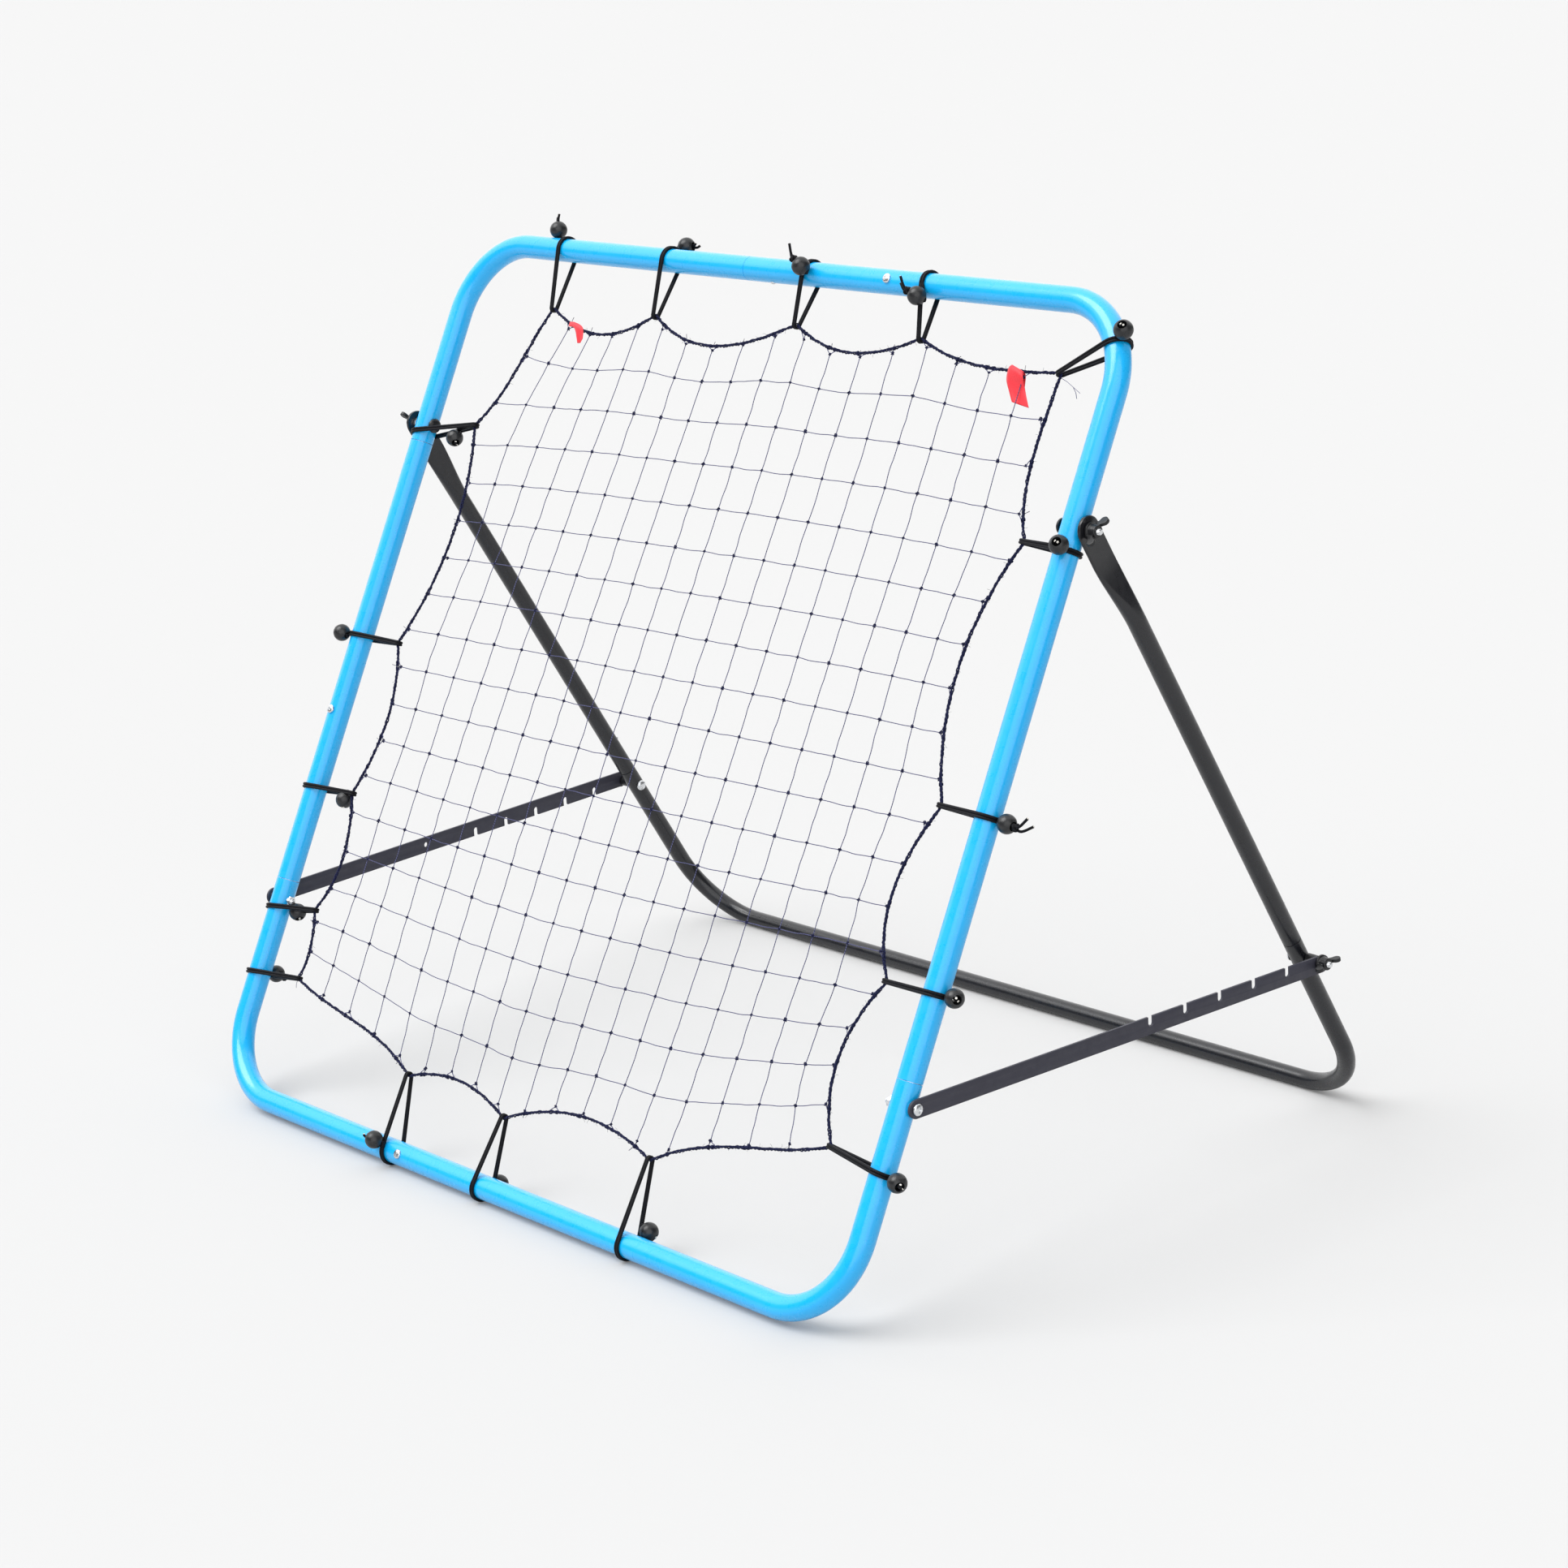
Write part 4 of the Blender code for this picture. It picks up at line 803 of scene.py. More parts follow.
def carved(mesh, cutters):
    """Cut several shapes out of a mesh."""
    body = add_object("body", mesh)
    tools = [add_object("cutter", cutter) for cutter in cutters]
    for tool in tools:
        modify(body, "BOOLEAN", object=tool, solver="EXACT")
    out = shape_of(harden(body))
    for tool in tools:
        bpy.data.objects.remove(tool)
    return tidy(out)


def cross_head_screw(head_r, head_h, shank_r, shank_length):
    """A pan head screw whose shank runs down from 0, with a cross recess."""
    dome = [(head_r * math.cos(t), head_h * (0.35 + 0.65 * math.sin(t)))
            for t in (math.radians(9 * i) for i in range(10))]
    profile = [(0, -shank_length), (shank_r, -shank_length), (shank_r, 0), (head_r, 0)]
    screw = turned(profile + dome[:-1] + [(0, head_h)], 40)
    long_way, wide = head_r * 1.05, head_r * 0.24
    return carved(screw, [slab((long_way, wide, head_h), (0, 0, head_h)),
                          slab((wide, long_way, head_h), (0, 0, head_h))])


def outwards(sx, point):
    """Turns a shape's Z to point away from the object's middle."""
    return Matrix.Translation(point) @ Matrix.Rotation(math.pi / 2 * sx, 4, "Y")


print("fastener shapes ready")

# %% [markdown]
# Three pan head screws sit in the front of the frame, one shape on three points, so the scatter
# tree places them. A small screw's tip shows under the top tube. The bars' front screws are the
# same kind, a size larger.

# %% Screws in the frame and at the bars
FRAME_AXES = Matrix.Translation(FOOT) @ Matrix.Rotation(-FRAME_LEAN, 4, "X")
LEG_AXES = Matrix.Translation(PIVOT) @ Matrix.Rotation(LEG_TILT, 4, "X")
FRAME_IN_X = HALF - FRAME_TUBE_R - GAP
BAR_SCREW_HEAD_R = 0.0057
BAR_SCREW_HEAD_H = 0.0034
BAR_NUT_ACROSS = 0.0100
BAR_NUT_HEIGHT = 0.0045
BOLT_PROUD = 0.0035         # how far a bolt's end stands out of its nut
WING_NUT_HEIGHT = 0.0105


def on_frame(sx, x, v, way=1):
    """Axes at a place on the frame's side, Z outwards, or inwards where way is -1."""
    return FRAME_AXES @ outwards(sx * way, (sx * x, 0, v))


FRAME_SCREW = (0.0048, 0.0026, 0.0016, 0.006)    # head radius and height, shank radius and length
SMALL_SCREW = (0.0026, 0.0014, 0.001, 0.003)
seats = [(0.168, FRAME_SPAN), (-HALF, 0.428), (-0.158, 0)]
screws = scatter("frame_pan_screws", cross_head_screw(*FRAME_SCREW),
                 [frame_spot(x, v, FRAME_TUBE_R + GAP / 3) for x, v in seats], [FRONT] * 3, ZINC,
                 seed=4)
tip = scatter("small_screw_under_top_tube", cross_head_screw(*SMALL_SCREW),
              [frame_spot(-0.004, FRAME_SPAN - FRAME_TUBE_R)], [-UP], ZINC)
tidy(screws.data)
tidy(tip.data)
settle(screws, "frame", "frame_screw_top", "frame_screw_side", "frame_screw_bottom")
settle(tip, "frame")

screw_seat = BAR_FRONT_X + BAR_THICK / 2 + BAR_SKEW_CLEAR
shank = screw_seat - FRAME_IN_X + BAR_NUT_HEIGHT + BOLT_PROUD
bar_screw = cross_head_screw(BAR_SCREW_HEAD_R, BAR_SCREW_HEAD_H, BOLT_R - 0.0002, shank - 0.006)
thread = placed(loft(bolt_end(shank - 0.0065, shank, 0.006)), Matrix.Rotation(math.pi, 4, "X"))
bar_screw = joined([bar_screw, thread])
for side, sx in SIDES.items():
    fit("bar_front_screw_" + side, bar_screw, on_frame(sx, screw_seat, BAR_PIVOT_V), ZINC,
        "frame", "bar_screw_" + side)
    fit("bar_front_washer_" + side, washer(BAR_SCREW_HEAD_R, BAR_WASHER),
        on_frame(sx, FRAME_OUT_X + GAP, BAR_PIVOT_V), ZINC, "frame", "bar_washer_" + side)
    fit("bar_front_nut_" + side, hex_nut(BAR_NUT_ACROSS, BAR_NUT_HEIGHT),
        on_frame(sx, FRAME_IN_X, BAR_PIVOT_V, -1), ZINC, "frame", "bar_nut_" + side)

# %% [markdown]
# The pivot bolt goes through the frame tube, a washer and the leg's flat, and its threaded end
# shows in the middle of the wing nut. Inside the frame it has a black plastic cap. The leg bolt
# is two pieces here, because the bar lifts off it: the inner part stays on the leg, and its end,
# the plastic spacer and the wing nut go with the bar.

# %% Pivot bolts and leg bolts
def dome(radius, height, rim):
    """Profile of a domed head from its rim down to its pole, below Z = 0."""
    angles = [math.radians(10 * i) for i in range(10)]
    return [(radius, 0), (radius, -rim)] + [
        (radius * math.cos(t), -rim - (height - rim) * math.sin(t)) for t in angles[1:-1]
    ] + [(0, -height)]


flat_seat = FLAT_MID_X + FLAT_THICK / 2 + GAP
pivot_reach = flat_seat + WING_NUT_HEIGHT + BOLT_PROUD - FRAME_IN_X
pivot_bolt = loft(bolt_end(-0.002, pivot_reach, 0.012))
cap = turned([(0, 0)] + dome(0.0080, 0.0050, 0.0012), 48)
inner_x = LEG_X - LEG_TUBE_R - GAP
leg_bolt = joined([loft(bolt_end(-0.001, LEG_OUT_X - inner_x, 0.004)),
                   turned([(0, 0)] + dome(0.0060, 0.0036, 0.0008), 40)])
spacer_end = -BAR_THICK - GAP - BAR_SPACER
leg_bolt_end = loft(bolt_end(spacer_end, GAP + WING_NUT_HEIGHT + BOLT_PROUD, 0.010))
for side, sx in SIDES.items():
    start = on_frame(sx, FRAME_IN_X, PIVOT_V)
    fit("pivot_bolt_shank_" + side, pivot_bolt, start, ZINC, "frame", "pivot_bolt_" + side)
    fit("pivot_bolt_cap_" + side, cap, start, NUT_PLASTIC, "frame")
    fit("pivot_washer_" + side, washer(0.0070, PIVOT_SPACER),
        on_frame(sx, FRAME_OUT_X + GAP, PIVOT_V), ZINC, "frame", "pivot_spacer_" + side)
    fit("leg_bolt_head_" + side, leg_bolt,
        LEG_AXES @ outwards(sx, (sx * inner_x, 0, -BAR_BOLT_A)), ZINC, "leg", "leg_bolt_" + side)
    base = leg_bolt_axes(sx)
    fit("leg_bolt_thread_" + side, leg_bolt_end, base, ZINC, "bar_" + side,
        "leg_bolt_end_" + side)
    fit("plastic_spacer_" + side, washer(0.0058, BAR_SPACER),
        base @ Matrix.Translation((0, 0, spacer_end)), NUT_PLASTIC, "bar_" + side,
        "leg_bolt_spacer_" + side)

# %% [markdown]
# A wing nut is moulded, so its wings grow out of the hub with soft fillets. The quick way to such
# a form is to overlap rough solids, remesh them into one skin of tiny squares and smooth it.

# %% Mould the wing nuts
def wing_nut(voxel=0.00032):
    top = WING_NUT_HEIGHT
    hub = turned([(0, top), (0.0056, top), (0.0062, top - 0.0006), (0.0066, 0.0030),
                  (0.0082, 0.0022), (0.0082, 0), (0, 0)], 48)
    right = [(0.0040, 0.0008), (0.0085, 0.0030), (0.0118, 0.0052)]
    right += arc((0.0126, 0.0098), 0.0042, -75, 150, 20) + [(0.0068, 0.0080), (0.0030, 0.0074)]
    wings = stamped([right + [(-x, y) for x, y in reversed(right)]], 0.0038, 0.0009)
    nut = add_object("nut", joined([hub, placed(wings, STAND)]))
    modify(nut, "REMESH", mode="VOXEL", voxel_size=voxel)
    modify(nut, "SMOOTH", factor=0.5, iterations=5)
    mesh = shape_of(harden(nut))
    mesh.shade_smooth()
    return mesh


def spun(degrees):
    return Matrix.Rotation(math.radians(degrees), 4, "Z")


nut_mesh = wing_nut()
PIVOT_NUT_SPINS = {"right": 100, "left": -12}
BAR_NUT_SPIN = 10
for side, sx in SIDES.items():
    fit("pivot_nut_" + side, nut_mesh,
        LEG_AXES @ outwards(sx, (sx * flat_seat, 0, 0)) @ spun(PIVOT_NUT_SPINS[side]),
        NUT_PLASTIC, "wing_pivot_" + side, "pivot_wing_nut_" + side)
    fit("bar_nut_winged_" + side, nut_mesh,
        leg_bolt_axes(sx) @ Matrix.Translation((0, 0, GAP)) @ spun(BAR_NUT_SPIN),
        NUT_PLASTIC, "wing_bar_" + side, "bar_wing_nut_" + side)

# %% [markdown]
# ## Where the ties pull the net
# Each tie is a doubled elastic cord that goes round a frame tube and through the net's border
# rope, and ends in a ball. The list says where, side by side. A hook is given along the tube and
# in from its centre line, the crossing along the tube, and the ball along, out and to the front.
# The mouth is the direction of the ball's open end, where the cord's two ends come out. Some end
# inside the ball, others show as short tails.

# %% List the ties
TIES = {
    "top": [
        ((-0.332, 0.065), -0.3380, (-0.364, 0.021, 0.000), (-0.4, 0.9, 0.1), (0.006, 0.005)),
        ((-0.166, 0.060), -0.167, (-0.165, 0.0203, -0.0125), (1.0, 0.2, -0.3), (0.006, 0.003)),
        ((0.048, 0.053), 0.0487, (0.0545, 0.001, 0.0232), (-0.7, 0.5, 0.5), (0.0125, 0.007)),
        ((0.225, 0.053), 0.2175, (0.2203, -0.0157, 0.0175), (-0.8, 0.25, 0.6), (0.013, 0.011)),
    ],
    "right": [
        ((0.741, 0.0545), 0.7390, (0.740, 0.0075, 0.020), (0.35, 0.15, 0.9), (0, 0)),
        ((0.485, 0.0595), 0.4840, (0.483, 0.0245, 0.000), (0.9, -0.1, 0.0), (0.020, 0.018)),
        ((0.315, 0.0625), 0.3160, (0.318, 0.0235, 0.000), (0.9, -0.1, 0.5), (0, 0.001)),
        ((0.1545, 0.0705), 0.1470, (0.144, 0.0285, 0.009), (0.9, -0.3, 0.4), (0.003, 0.005)),
    ],
    "left": [
        ((0.769, 0.0825), 0.7515, (0.752, -0.0545, 0.000), (0.8, -0.7, 0.2), (0.003, 0.003)),
        ((0.517, 0.0645), 0.5150, (0.513, 0.0165, 0.014), (-0.9, 0.2, 0.1), (0.002, 0.002)),
        ((0.345, 0.0645), 0.3400, (0.336, -0.0545, 0.000), (0.1, -1.0, 0.0), (0, 0)),
        ((0.211, 0.0610), 0.2015, (0.203, -0.0255, -0.006), (0.6, -0.7, -0.1), (0, 0)),
        ((0.135, 0.0685), 0.1270, (0.130, 0.0015, -0.022), (0.1, -0.4, -0.9), (0.004, 0.005)),
    ],
    "bottom": [
        ((-0.192, 0.078), -0.183, (-0.189, -0.006, 0.022), (-0.8, 0.0, 0.6), (0.003, 0.002)),
        ((-0.030, 0.072), -0.031, (-0.033, -0.006, -0.0215), (0.6, -0.3, -0.6), (0.003, 0)),
        ((0.191, 0.084), 0.195, (0.206, -0.018, -0.012), (0.7, -0.4, -0.5), (0, 0)),
    ],
}
CORNER_HOOK = (0.0705, 0.071)        # the corner's tie is measured in from both tubes
CORNER_ANGLE = math.radians(32)
CORNER_BALL = (-0.0012, 0.0270, 0.0130)
CORNER_MOUTH = (0.35, 0.35, 0.85)
BALL_R = 0.0095
CORD_R = 0.00145
CORD_RING_R = FRAME_TUBE_R + CORD_R + 0.0001
HOOK_R = 0.0038                      # a loop's bend round the border rope

HOOK_MESH = {
    "top": (0, 4.6, 9.6, 13.75, 18),
    "right": (0, 3.55, 9.55, 13.6, 18),
    "left": (0, 2.5, 8.4, 12.55, 15.65, 18),
    "bottom": (0, 4.45, 8.35, 13.6, 18),
}
ROPE_SAG = {
    "top": ((0.154, -0.011), (0.134, 0.025), (0.127, 0.007), (0.061, 0.020)),
    "right": ((0.072, -0.038), (0.126, -0.001), (0.158, -0.028), (0.173, -0.006)),
    "left": ((0.040, -0.056), (0.109, 0.002), (0.123, 0.016), (0.143, -0.024), (0.114, -0.013)),
    "bottom": ((0.025, -0.043), (0.103, 0.004), (0.104, 0.001), (0.027, 0.046)),
}
INWARD = {"top": (0, -1), "bottom": (0, 1), "left": (1, 0), "right": (-1, 0)}
NET_MESHES = 18


def on_side(side, along, inset):
    """(x, v) at a place along one side tube and in from its centre line."""
    if side in ("top", "bottom"):
        return (along, FRAME_SPAN - inset if side == "top" else inset)
    return ((1 if side == "right" else -1) * (HALF - inset), along)


def list_ties():
    """Name, hook, crossing, ball, square, mouth and tails of every tie, as (x, v, n)."""
    ties = []
    for side, rows in TIES.items():
        for number, (hook, cross, (ball_along, out, ball_n), mouth, tails) in enumerate(rows, 1):
            square = -Vector((*INWARD[side], 0))
            crossing = Vector((*on_side(side, cross, 0), 0))
            least = FRAME_TUBE_R + BALL_R + (CORD_R if abs(ball_along - cross) < 0.009 else 0)
            offset = Vector((out, ball_n))
            offset *= max(1, least / offset.length)
            ball = Vector((*on_side(side, ball_along, -offset.x), offset.y))
            ties.append((f"{side}_{number}", Vector((*on_side(side, *hook), 0)), crossing, ball,
                         square, Vector(mouth), tails))
    square = Vector((math.cos(CORNER_ANGLE), math.sin(CORNER_ANGLE), 0))
    bend = Vector((HALF - FRAME_BEND_R, FRAME_SPAN - FRAME_BEND_R, 0))
    hook = Vector((HALF - CORNER_HOOK[0], FRAME_SPAN - CORNER_HOOK[1], 0))
    ball = Vector((HALF - CORNER_BALL[0], FRAME_SPAN - CORNER_BALL[1], CORNER_BALL[2]))
    ties.append(("corner", hook, bend + FRAME_BEND_R * square, ball, square,
                 Vector(CORNER_MOUTH), (0, 0)))
    return ties


ties = list_ties()
print("ties:", len(ties))

# %% [markdown]
# ## The border rope and the knots of the net
# Between two ties the rope hangs in a shallow curve, a parabola pulled inwards. The net's own
# strings share their tension, so each knot settles near the middle of its four neighbours:
# repeating that average from the border inwards gives the net its natural shape.

# %% Curve the border and relax the net
def side_hooks(side):
    hooks = {name: hook for name, hook, *_ in ties}
    own = [hooks[f"{side}_{number}"] for number in range(1, len(TIES[side]) + 1)]
    if side == "top":
        return own + [hooks["corner"]]
    if side == "right":
        return [hooks["corner"]] + own
    if side == "left":
        return [hooks["top_1"]] + own
    return [hooks["left_5"]] + own + [hooks["right_4"]]


def border_point(side, t):
    """The border rope at mesh number t of a side."""
    marks, hooks = HOOK_MESH[side], side_hooks(side)
    k = max(i for i in range(len(marks) - 1) if marks[i] <= t)
    share = (t - marks[k]) / (marks[k + 1] - marks[k])
    start, end = np.array(hooks[k][:2]), np.array(hooks[k + 1][:2])
    span = np.linalg.norm(end - start)
    sag, lean = ROPE_SAG[side][k]
    sag = (sag + lean * (1 - 2 * share)) * span * 4 * share * (1 - share)
    return start + (end - start) * share + sag * np.array(INWARD[side])


def relaxed_net(rounds=600):
    """Knot places (x, v), rows from the top."""
    count = NET_MESHES + 1
    grid = np.zeros((count, count, 2))
    for i in range(count):
        grid[0, i] = border_point("top", i)
        grid[-1, i] = border_point("bottom", i)
        grid[i, 0] = border_point("left", i)
        grid[i, -1] = border_point("right", i)
    share = np.linspace(0, 1, count)[None, 1:-1, None]
    grid[1:-1, 1:-1] = grid[1:-1, :1] * (1 - share) + grid[1:-1, -1:] * share
    for _ in range(rounds):
        inner = grid[:-2, 1:-1] + grid[2:, 1:-1] + grid[1:-1, :-2] + grid[1:-1, 2:]
        grid[1:-1, 1:-1] = inner / 4
    return grid


def rope_path(step=0.2):
    """Points of the border rope, clockwise from the top left hook."""
    path = []
    for side in ("top", "right", "bottom", "left"):
        marks = sorted({*np.arange(0, NET_MESHES, step).round(3), *HOOK_MESH[side]})
        points = [border_point(side, t) for t in marks]
        path += (points[::-1] if side in ("bottom", "left") else points)[:-1]
    return [frame_spot(x, v) for x, v in path]


ROPE_STRAND_R = 0.00080
ROPE_LAY = 0.013            # length of rope in which a strand goes round once
ROPE_LAY_R = 0.00095
ROPE_LOOSENESS = 0.0028
net_grid = relaxed_net()
border = rope_path()
rope_length = sum((b - a).length for a, b in zip(border, border[1:] + border[:1]))


def evenly(path, step):
    """Points at even steps along a closed path."""
    spots = np.array([tuple(point) for point in path + path[:1]])
    runs = np.concatenate([[0], np.cumsum(np.linalg.norm(np.diff(spots, axis=0), axis=1))])
    at = np.linspace(0, runs[-1], round(runs[-1] / step), endpoint=False)
    return [Vector(point) for point in np.stack([np.interp(at, runs, spots[:, k])
                                                 for k in range(3)], axis=1)]


rope = grow("border_rope", lines([evenly(border, 0.0016)], closed=True), rope_tree,
            {"Strands": 3, "Strand radius": ROPE_STRAND_R, "Lay radius": ROPE_LAY_R,
             "Turns": float(round(rope_length / ROPE_LAY)), "Looseness": ROPE_LOOSENESS,
             "Material": ROPE})
settle(rope, "frame", "net_border_rope")
print(f"rope {rope_length:.2f} m long")

# %% [markdown]
# The net's twine runs from knot to knot, never quite straight. One more tree takes the mesh of
# knots and edges, gives every string a slight bow of its own and sweeps it. At the border each
# string ends in a knot a few millimetres inside the rope, tied to it by a small fork of twine.

# %% Tie the net
TWINE_R = 0.00045
TWINE_SLACK = 0.0035
KNOT_INSET = (0.0022, 0.0065)        # a border string's knot, in from the rope
FORK_REACH = (0.003, 0.009)          # where its fork meets the rope, to either side
twine_tree, given = new_tree("net_twine", {"Radius": "number", "Slack": "number"})
line = add(twine_tree, "GeometryNodeMeshToCurve", {"Mesh": given["Geometry"]}).outputs[0]
even = add(twine_tree, "GeometryNodeResampleCurve", {"Curve": line, "Count": 9}).outputs[0]
share = add(twine_tree, "GeometryNodeSplineParameter").outputs["Factor"]
bow = maths(twine_tree, "SINE", maths(twine_tree, "MULTIPLY", share, math.pi))
drooping = vectors(twine_tree, "ADD", stray(twine_tree, {"Scale": 35.0, "Detail": 1.0}),
                   (0, -0.05, -0.1))
offset = vectors(twine_tree, "SCALE", drooping,
                 Scale=maths(twine_tree, "MULTIPLY", bow, given["Slack"]))
strings = add(twine_tree, "GeometryNodeSetPosition", {"Geometry": even, "Offset": offset})
end_tree(twine_tree, sweep_cord(twine_tree, strings.outputs[0], given["Radius"], 5), given)

rng = np.random.default_rng(72)
last = NET_MESHES
knots, edges, forks = {}, [], []
for row, col in np.ndindex(last + 1, last + 1):
    spot = net_grid[row, col].copy()
    on_row, on_col = row in (0, last), col in (0, last)
    if on_row and on_col:
        continue
    if on_row or on_col:
        to = net_grid[min(max(row, 1), last - 1), min(max(col, 1), last - 1)]
        inset = rng.uniform(*KNOT_INSET)
        step = (to - spot) / np.linalg.norm(to - spot)
        forks.append((spot.copy(), step, inset))
        spot += step * inset
    knots[row, col] = spot
for row, col in knots:
    for beside, string in (((row, col + 1), row), ((row + 1, col), col)):
        if beside in knots and string not in (0, last):
            edges.append(((row, col), beside))

order = {place: i for i, place in enumerate(knots)}
knot_spots = [frame_spot(*spot) for spot in knots.values()]
net_lines = bpy.data.meshes.new("net_lines")
net_lines.from_pydata(knot_spots, [(order[a], order[b]) for a, b in edges], [])
twine = grow("net_twine", net_lines, twine_tree, {"Radius": TWINE_R, "Slack": TWINE_SLACK,
                                                  "Material": TWINE})
settle(twine, "frame", "net_mesh")

# %% Knots, forks and hitches
def cords(name, runs, radius, step, sides, material, closed=False):
    """Cords along runs of points."""
    return grow(name, lines(runs, closed), cord_tree, {"Radius": radius, "Step": step,
                                                       "Sides": sides, "Material": material})


def overhand_knot(size, radius, points=16, sides=4):
    """A trefoil, the shape of an overhand knot pulled tight."""
    run = [(size * (math.sin(t) + 2 * math.sin(2 * t)) / 3,
            size * (math.cos(t) - 2 * math.cos(2 * t)) / 3,
            -size * 0.45 * math.sin(3 * t)) for t in circle(points)]
    length = size * 9.9
    return shape_of(cords("knot", [run], radius, length / points, sides, TWINE, closed=True))


# The knots are twine but take the rope's darker finish: painted shade in their tight turns.
net_knots = scatter("net_knots", overhand_knot(0.00165, 0.00058), knot_spots,
                    [FRONT] * len(knot_spots), ROPE, 0.85, 1.2, 5)
settle(net_knots, "frame")

fork_runs, hitch_spots, hitch_aims = [], [], []
for spot, step, inset in forks:
    tip = frame_spot(*(spot + step * inset))
    across = np.array([-step[1], step[0]])
    here = frame_spot(*spot)
    for sign, width in zip((-1, 1), rng.uniform(*FORK_REACH, 2)):
        near = min(border, key=lambda p: (p - frame_spot(*(spot + sign * across * width))).length)
        fork_runs.append([tip, tip.lerp(near, 0.55) + FRONT * 0.0004, near])
        hitch_spots.append(here.lerp(near, 0.5))
        hitch_aims.append((near - here).normalized() if (near - here).length > 1e-6 else SIDEWAYS)
settle(cords("border_forks", fork_runs, TWINE_R, 0.002, 5, TWINE), "frame")

COIL_R = 0.0019
COIL_PITCH = 0.0009
turns = [2 * math.pi * k / 9 for k in range(28)]
coil = [polar(COIL_R, t, COIL_PITCH * t / (2 * math.pi) - 0.0013) for t in turns]
hitch = shape_of(cords("hitch", [coil], 0.00048, 0.0013, 4, ROPE))
settle(scatter("border_hitches", hitch, hitch_spots, hitch_aims, ROPE, 0.7, 1.05, 9), "frame")

# %% [markdown]
# Cheap rope sheds fibres. Short curved hairs are scattered on it, and here and there the cut end
# of a string sticks out.

# %% Hairs and loose ends
hair_line = [(0, 0, 0), (0.0003, 0, 0.0014), (0.0010, 0, 0.0027), (0.0021, 0, 0.0036)]
hair = shape_of(cords("hair", [hair_line], 0.00011, 0.0013, 3, ROPE))
HAIR_STEP = 0.0033
HAIR_SHARE = 0.75
FRAY_LENGTH = (0.002, 0.005)
hair_spots, hair_aims = [], []
for spot in evenly(border, HAIR_STEP):
    if rng.random() < HAIR_SHARE:
        ways = rng.normal(size=3)
        hair_spots.append(spot + Vector(rng.normal(size=3)) * 0.0005)
        hair_aims.append((FRONT * ways[0] + UP * ways[1] + SIDEWAYS * ways[2]).normalized())
settle(scatter("rope_hairs", hair, hair_spots, hair_aims, ROPE, 0.5, 1.3, 13), "frame")

loose_runs = []
for x, v, run in [(0.420, 0.899, [(0, 0, 0), (10, -3, 3), (21, -8, 4), (32, -13, 5)]),
                  (0.420, 0.899, [(20, -8, 3), (26, -13, 4), (28, -18, 3)]),
                  (-0.419, 0.135, [(0, 0, 0), (1, -6, 1), (4, -10, 2)])]:   # in millimetres
    loose_runs.append([frame_spot(x + dx / 1000, v + dv / 1000, dn / 1000) for dx, dv, dn in run])
settle(cords("loose_string_ends", loose_runs, 0.00032, 0.002, 4, TWINE), "frame")

frays = []
for spot, step, inset in forks:
    away = rng.normal(step * -0.7, 0.6) * rng.uniform(*FRAY_LENGTH)
    frays.append([frame_spot(*spot), frame_spot(*(spot + away * 0.5), 0.0012),
                  frame_spot(*(spot + away), 0.0016)])
settle(cords("cut_string_ends", frays, 0.00030, 0.002, 4, ROPE), "frame")

# %% [markdown]
# ## The elastic ties
# The cord is doubled, so two loops lie side by side, a cord's width apart round the tube, and
# squeeze together where they go through the rope. A tie's runs are straight between the tube and
# the rope because the elastic is stretched.

# %% Route the loops
def tie_loop(hook, crossing, square, shift):
    """A loop round the tube and the rope, shifted sideways from the tie's middle plane."""
    out = (crossing - hook).normalized()
    sideways = out.cross(Vector((0, 0, 1))) * shift
    reach = CORD_RING_R / out.dot(square)
    points = []
    for i in range(25):
        t = math.radians(-97 + 194 * i / 24)
        points.append(crossing + sideways + out * reach * math.cos(t)
                      + Vector((0, 0, -CORD_RING_R * math.sin(t))))
    for i in range(13):
        t = math.radians(83 + 194 * i / 12)
        points.append(hook + sideways * 0.8 + out * HOOK_R * math.cos(t)
                      + Vector((0, 0, -HOOK_R * math.sin(t))))
    return [frame_spot(*point) for point in points]


def smooth_run(points, steps=8):
    """A smooth curve through points (Catmull-Rom)."""
    points = [Vector(p) for p in points]
    points = [2 * points[0] - points[1], *points, 2 * points[-1] - points[-2]]
    out = []
    for a, b, c, d in zip(points, points[1:], points[2:], points[3:]):
        for i in range(steps):
            t = i / steps
            out.append(0.5 * (2 * b + (c - a) * t + (2 * a - 5 * b + 4 * c - d) * t * t
                              + (3 * b - a - 3 * c + d) * t ** 3))
    return out + [points[-2]]


BALL_MOUTH_R = 0.0043
BALL_NECK_R = 0.0031


def ball_mesh():
    """A hollow ball: a wide mouth at +Z, a neck hole at -Z, and a pocket between them."""
    mouth, neck = math.asin(BALL_MOUTH_R / BALL_R), math.asin(BALL_NECK_R / BALL_R)
    outside = [(BALL_R * math.sin(t), BALL_R * math.cos(t))
               for t in np.linspace(mouth + 0.06, math.pi - neck - 0.05, 22)]
    lip = [(BALL_MOUTH_R, 0.0016), (BALL_MOUTH_R, BALL_R * math.cos(mouth) - 0.0006),
           (BALL_MOUTH_R + 0.0003, BALL_R * math.cos(mouth) - 0.0001)]
    inside = [(BALL_NECK_R + 0.0002, -BALL_R * math.cos(neck) + 0.0001),
              (BALL_NECK_R, -BALL_R * math.cos(neck) + 0.0005), (BALL_NECK_R, 0.0002)]
    return turned(lip + outside + inside, 40, closed=True)


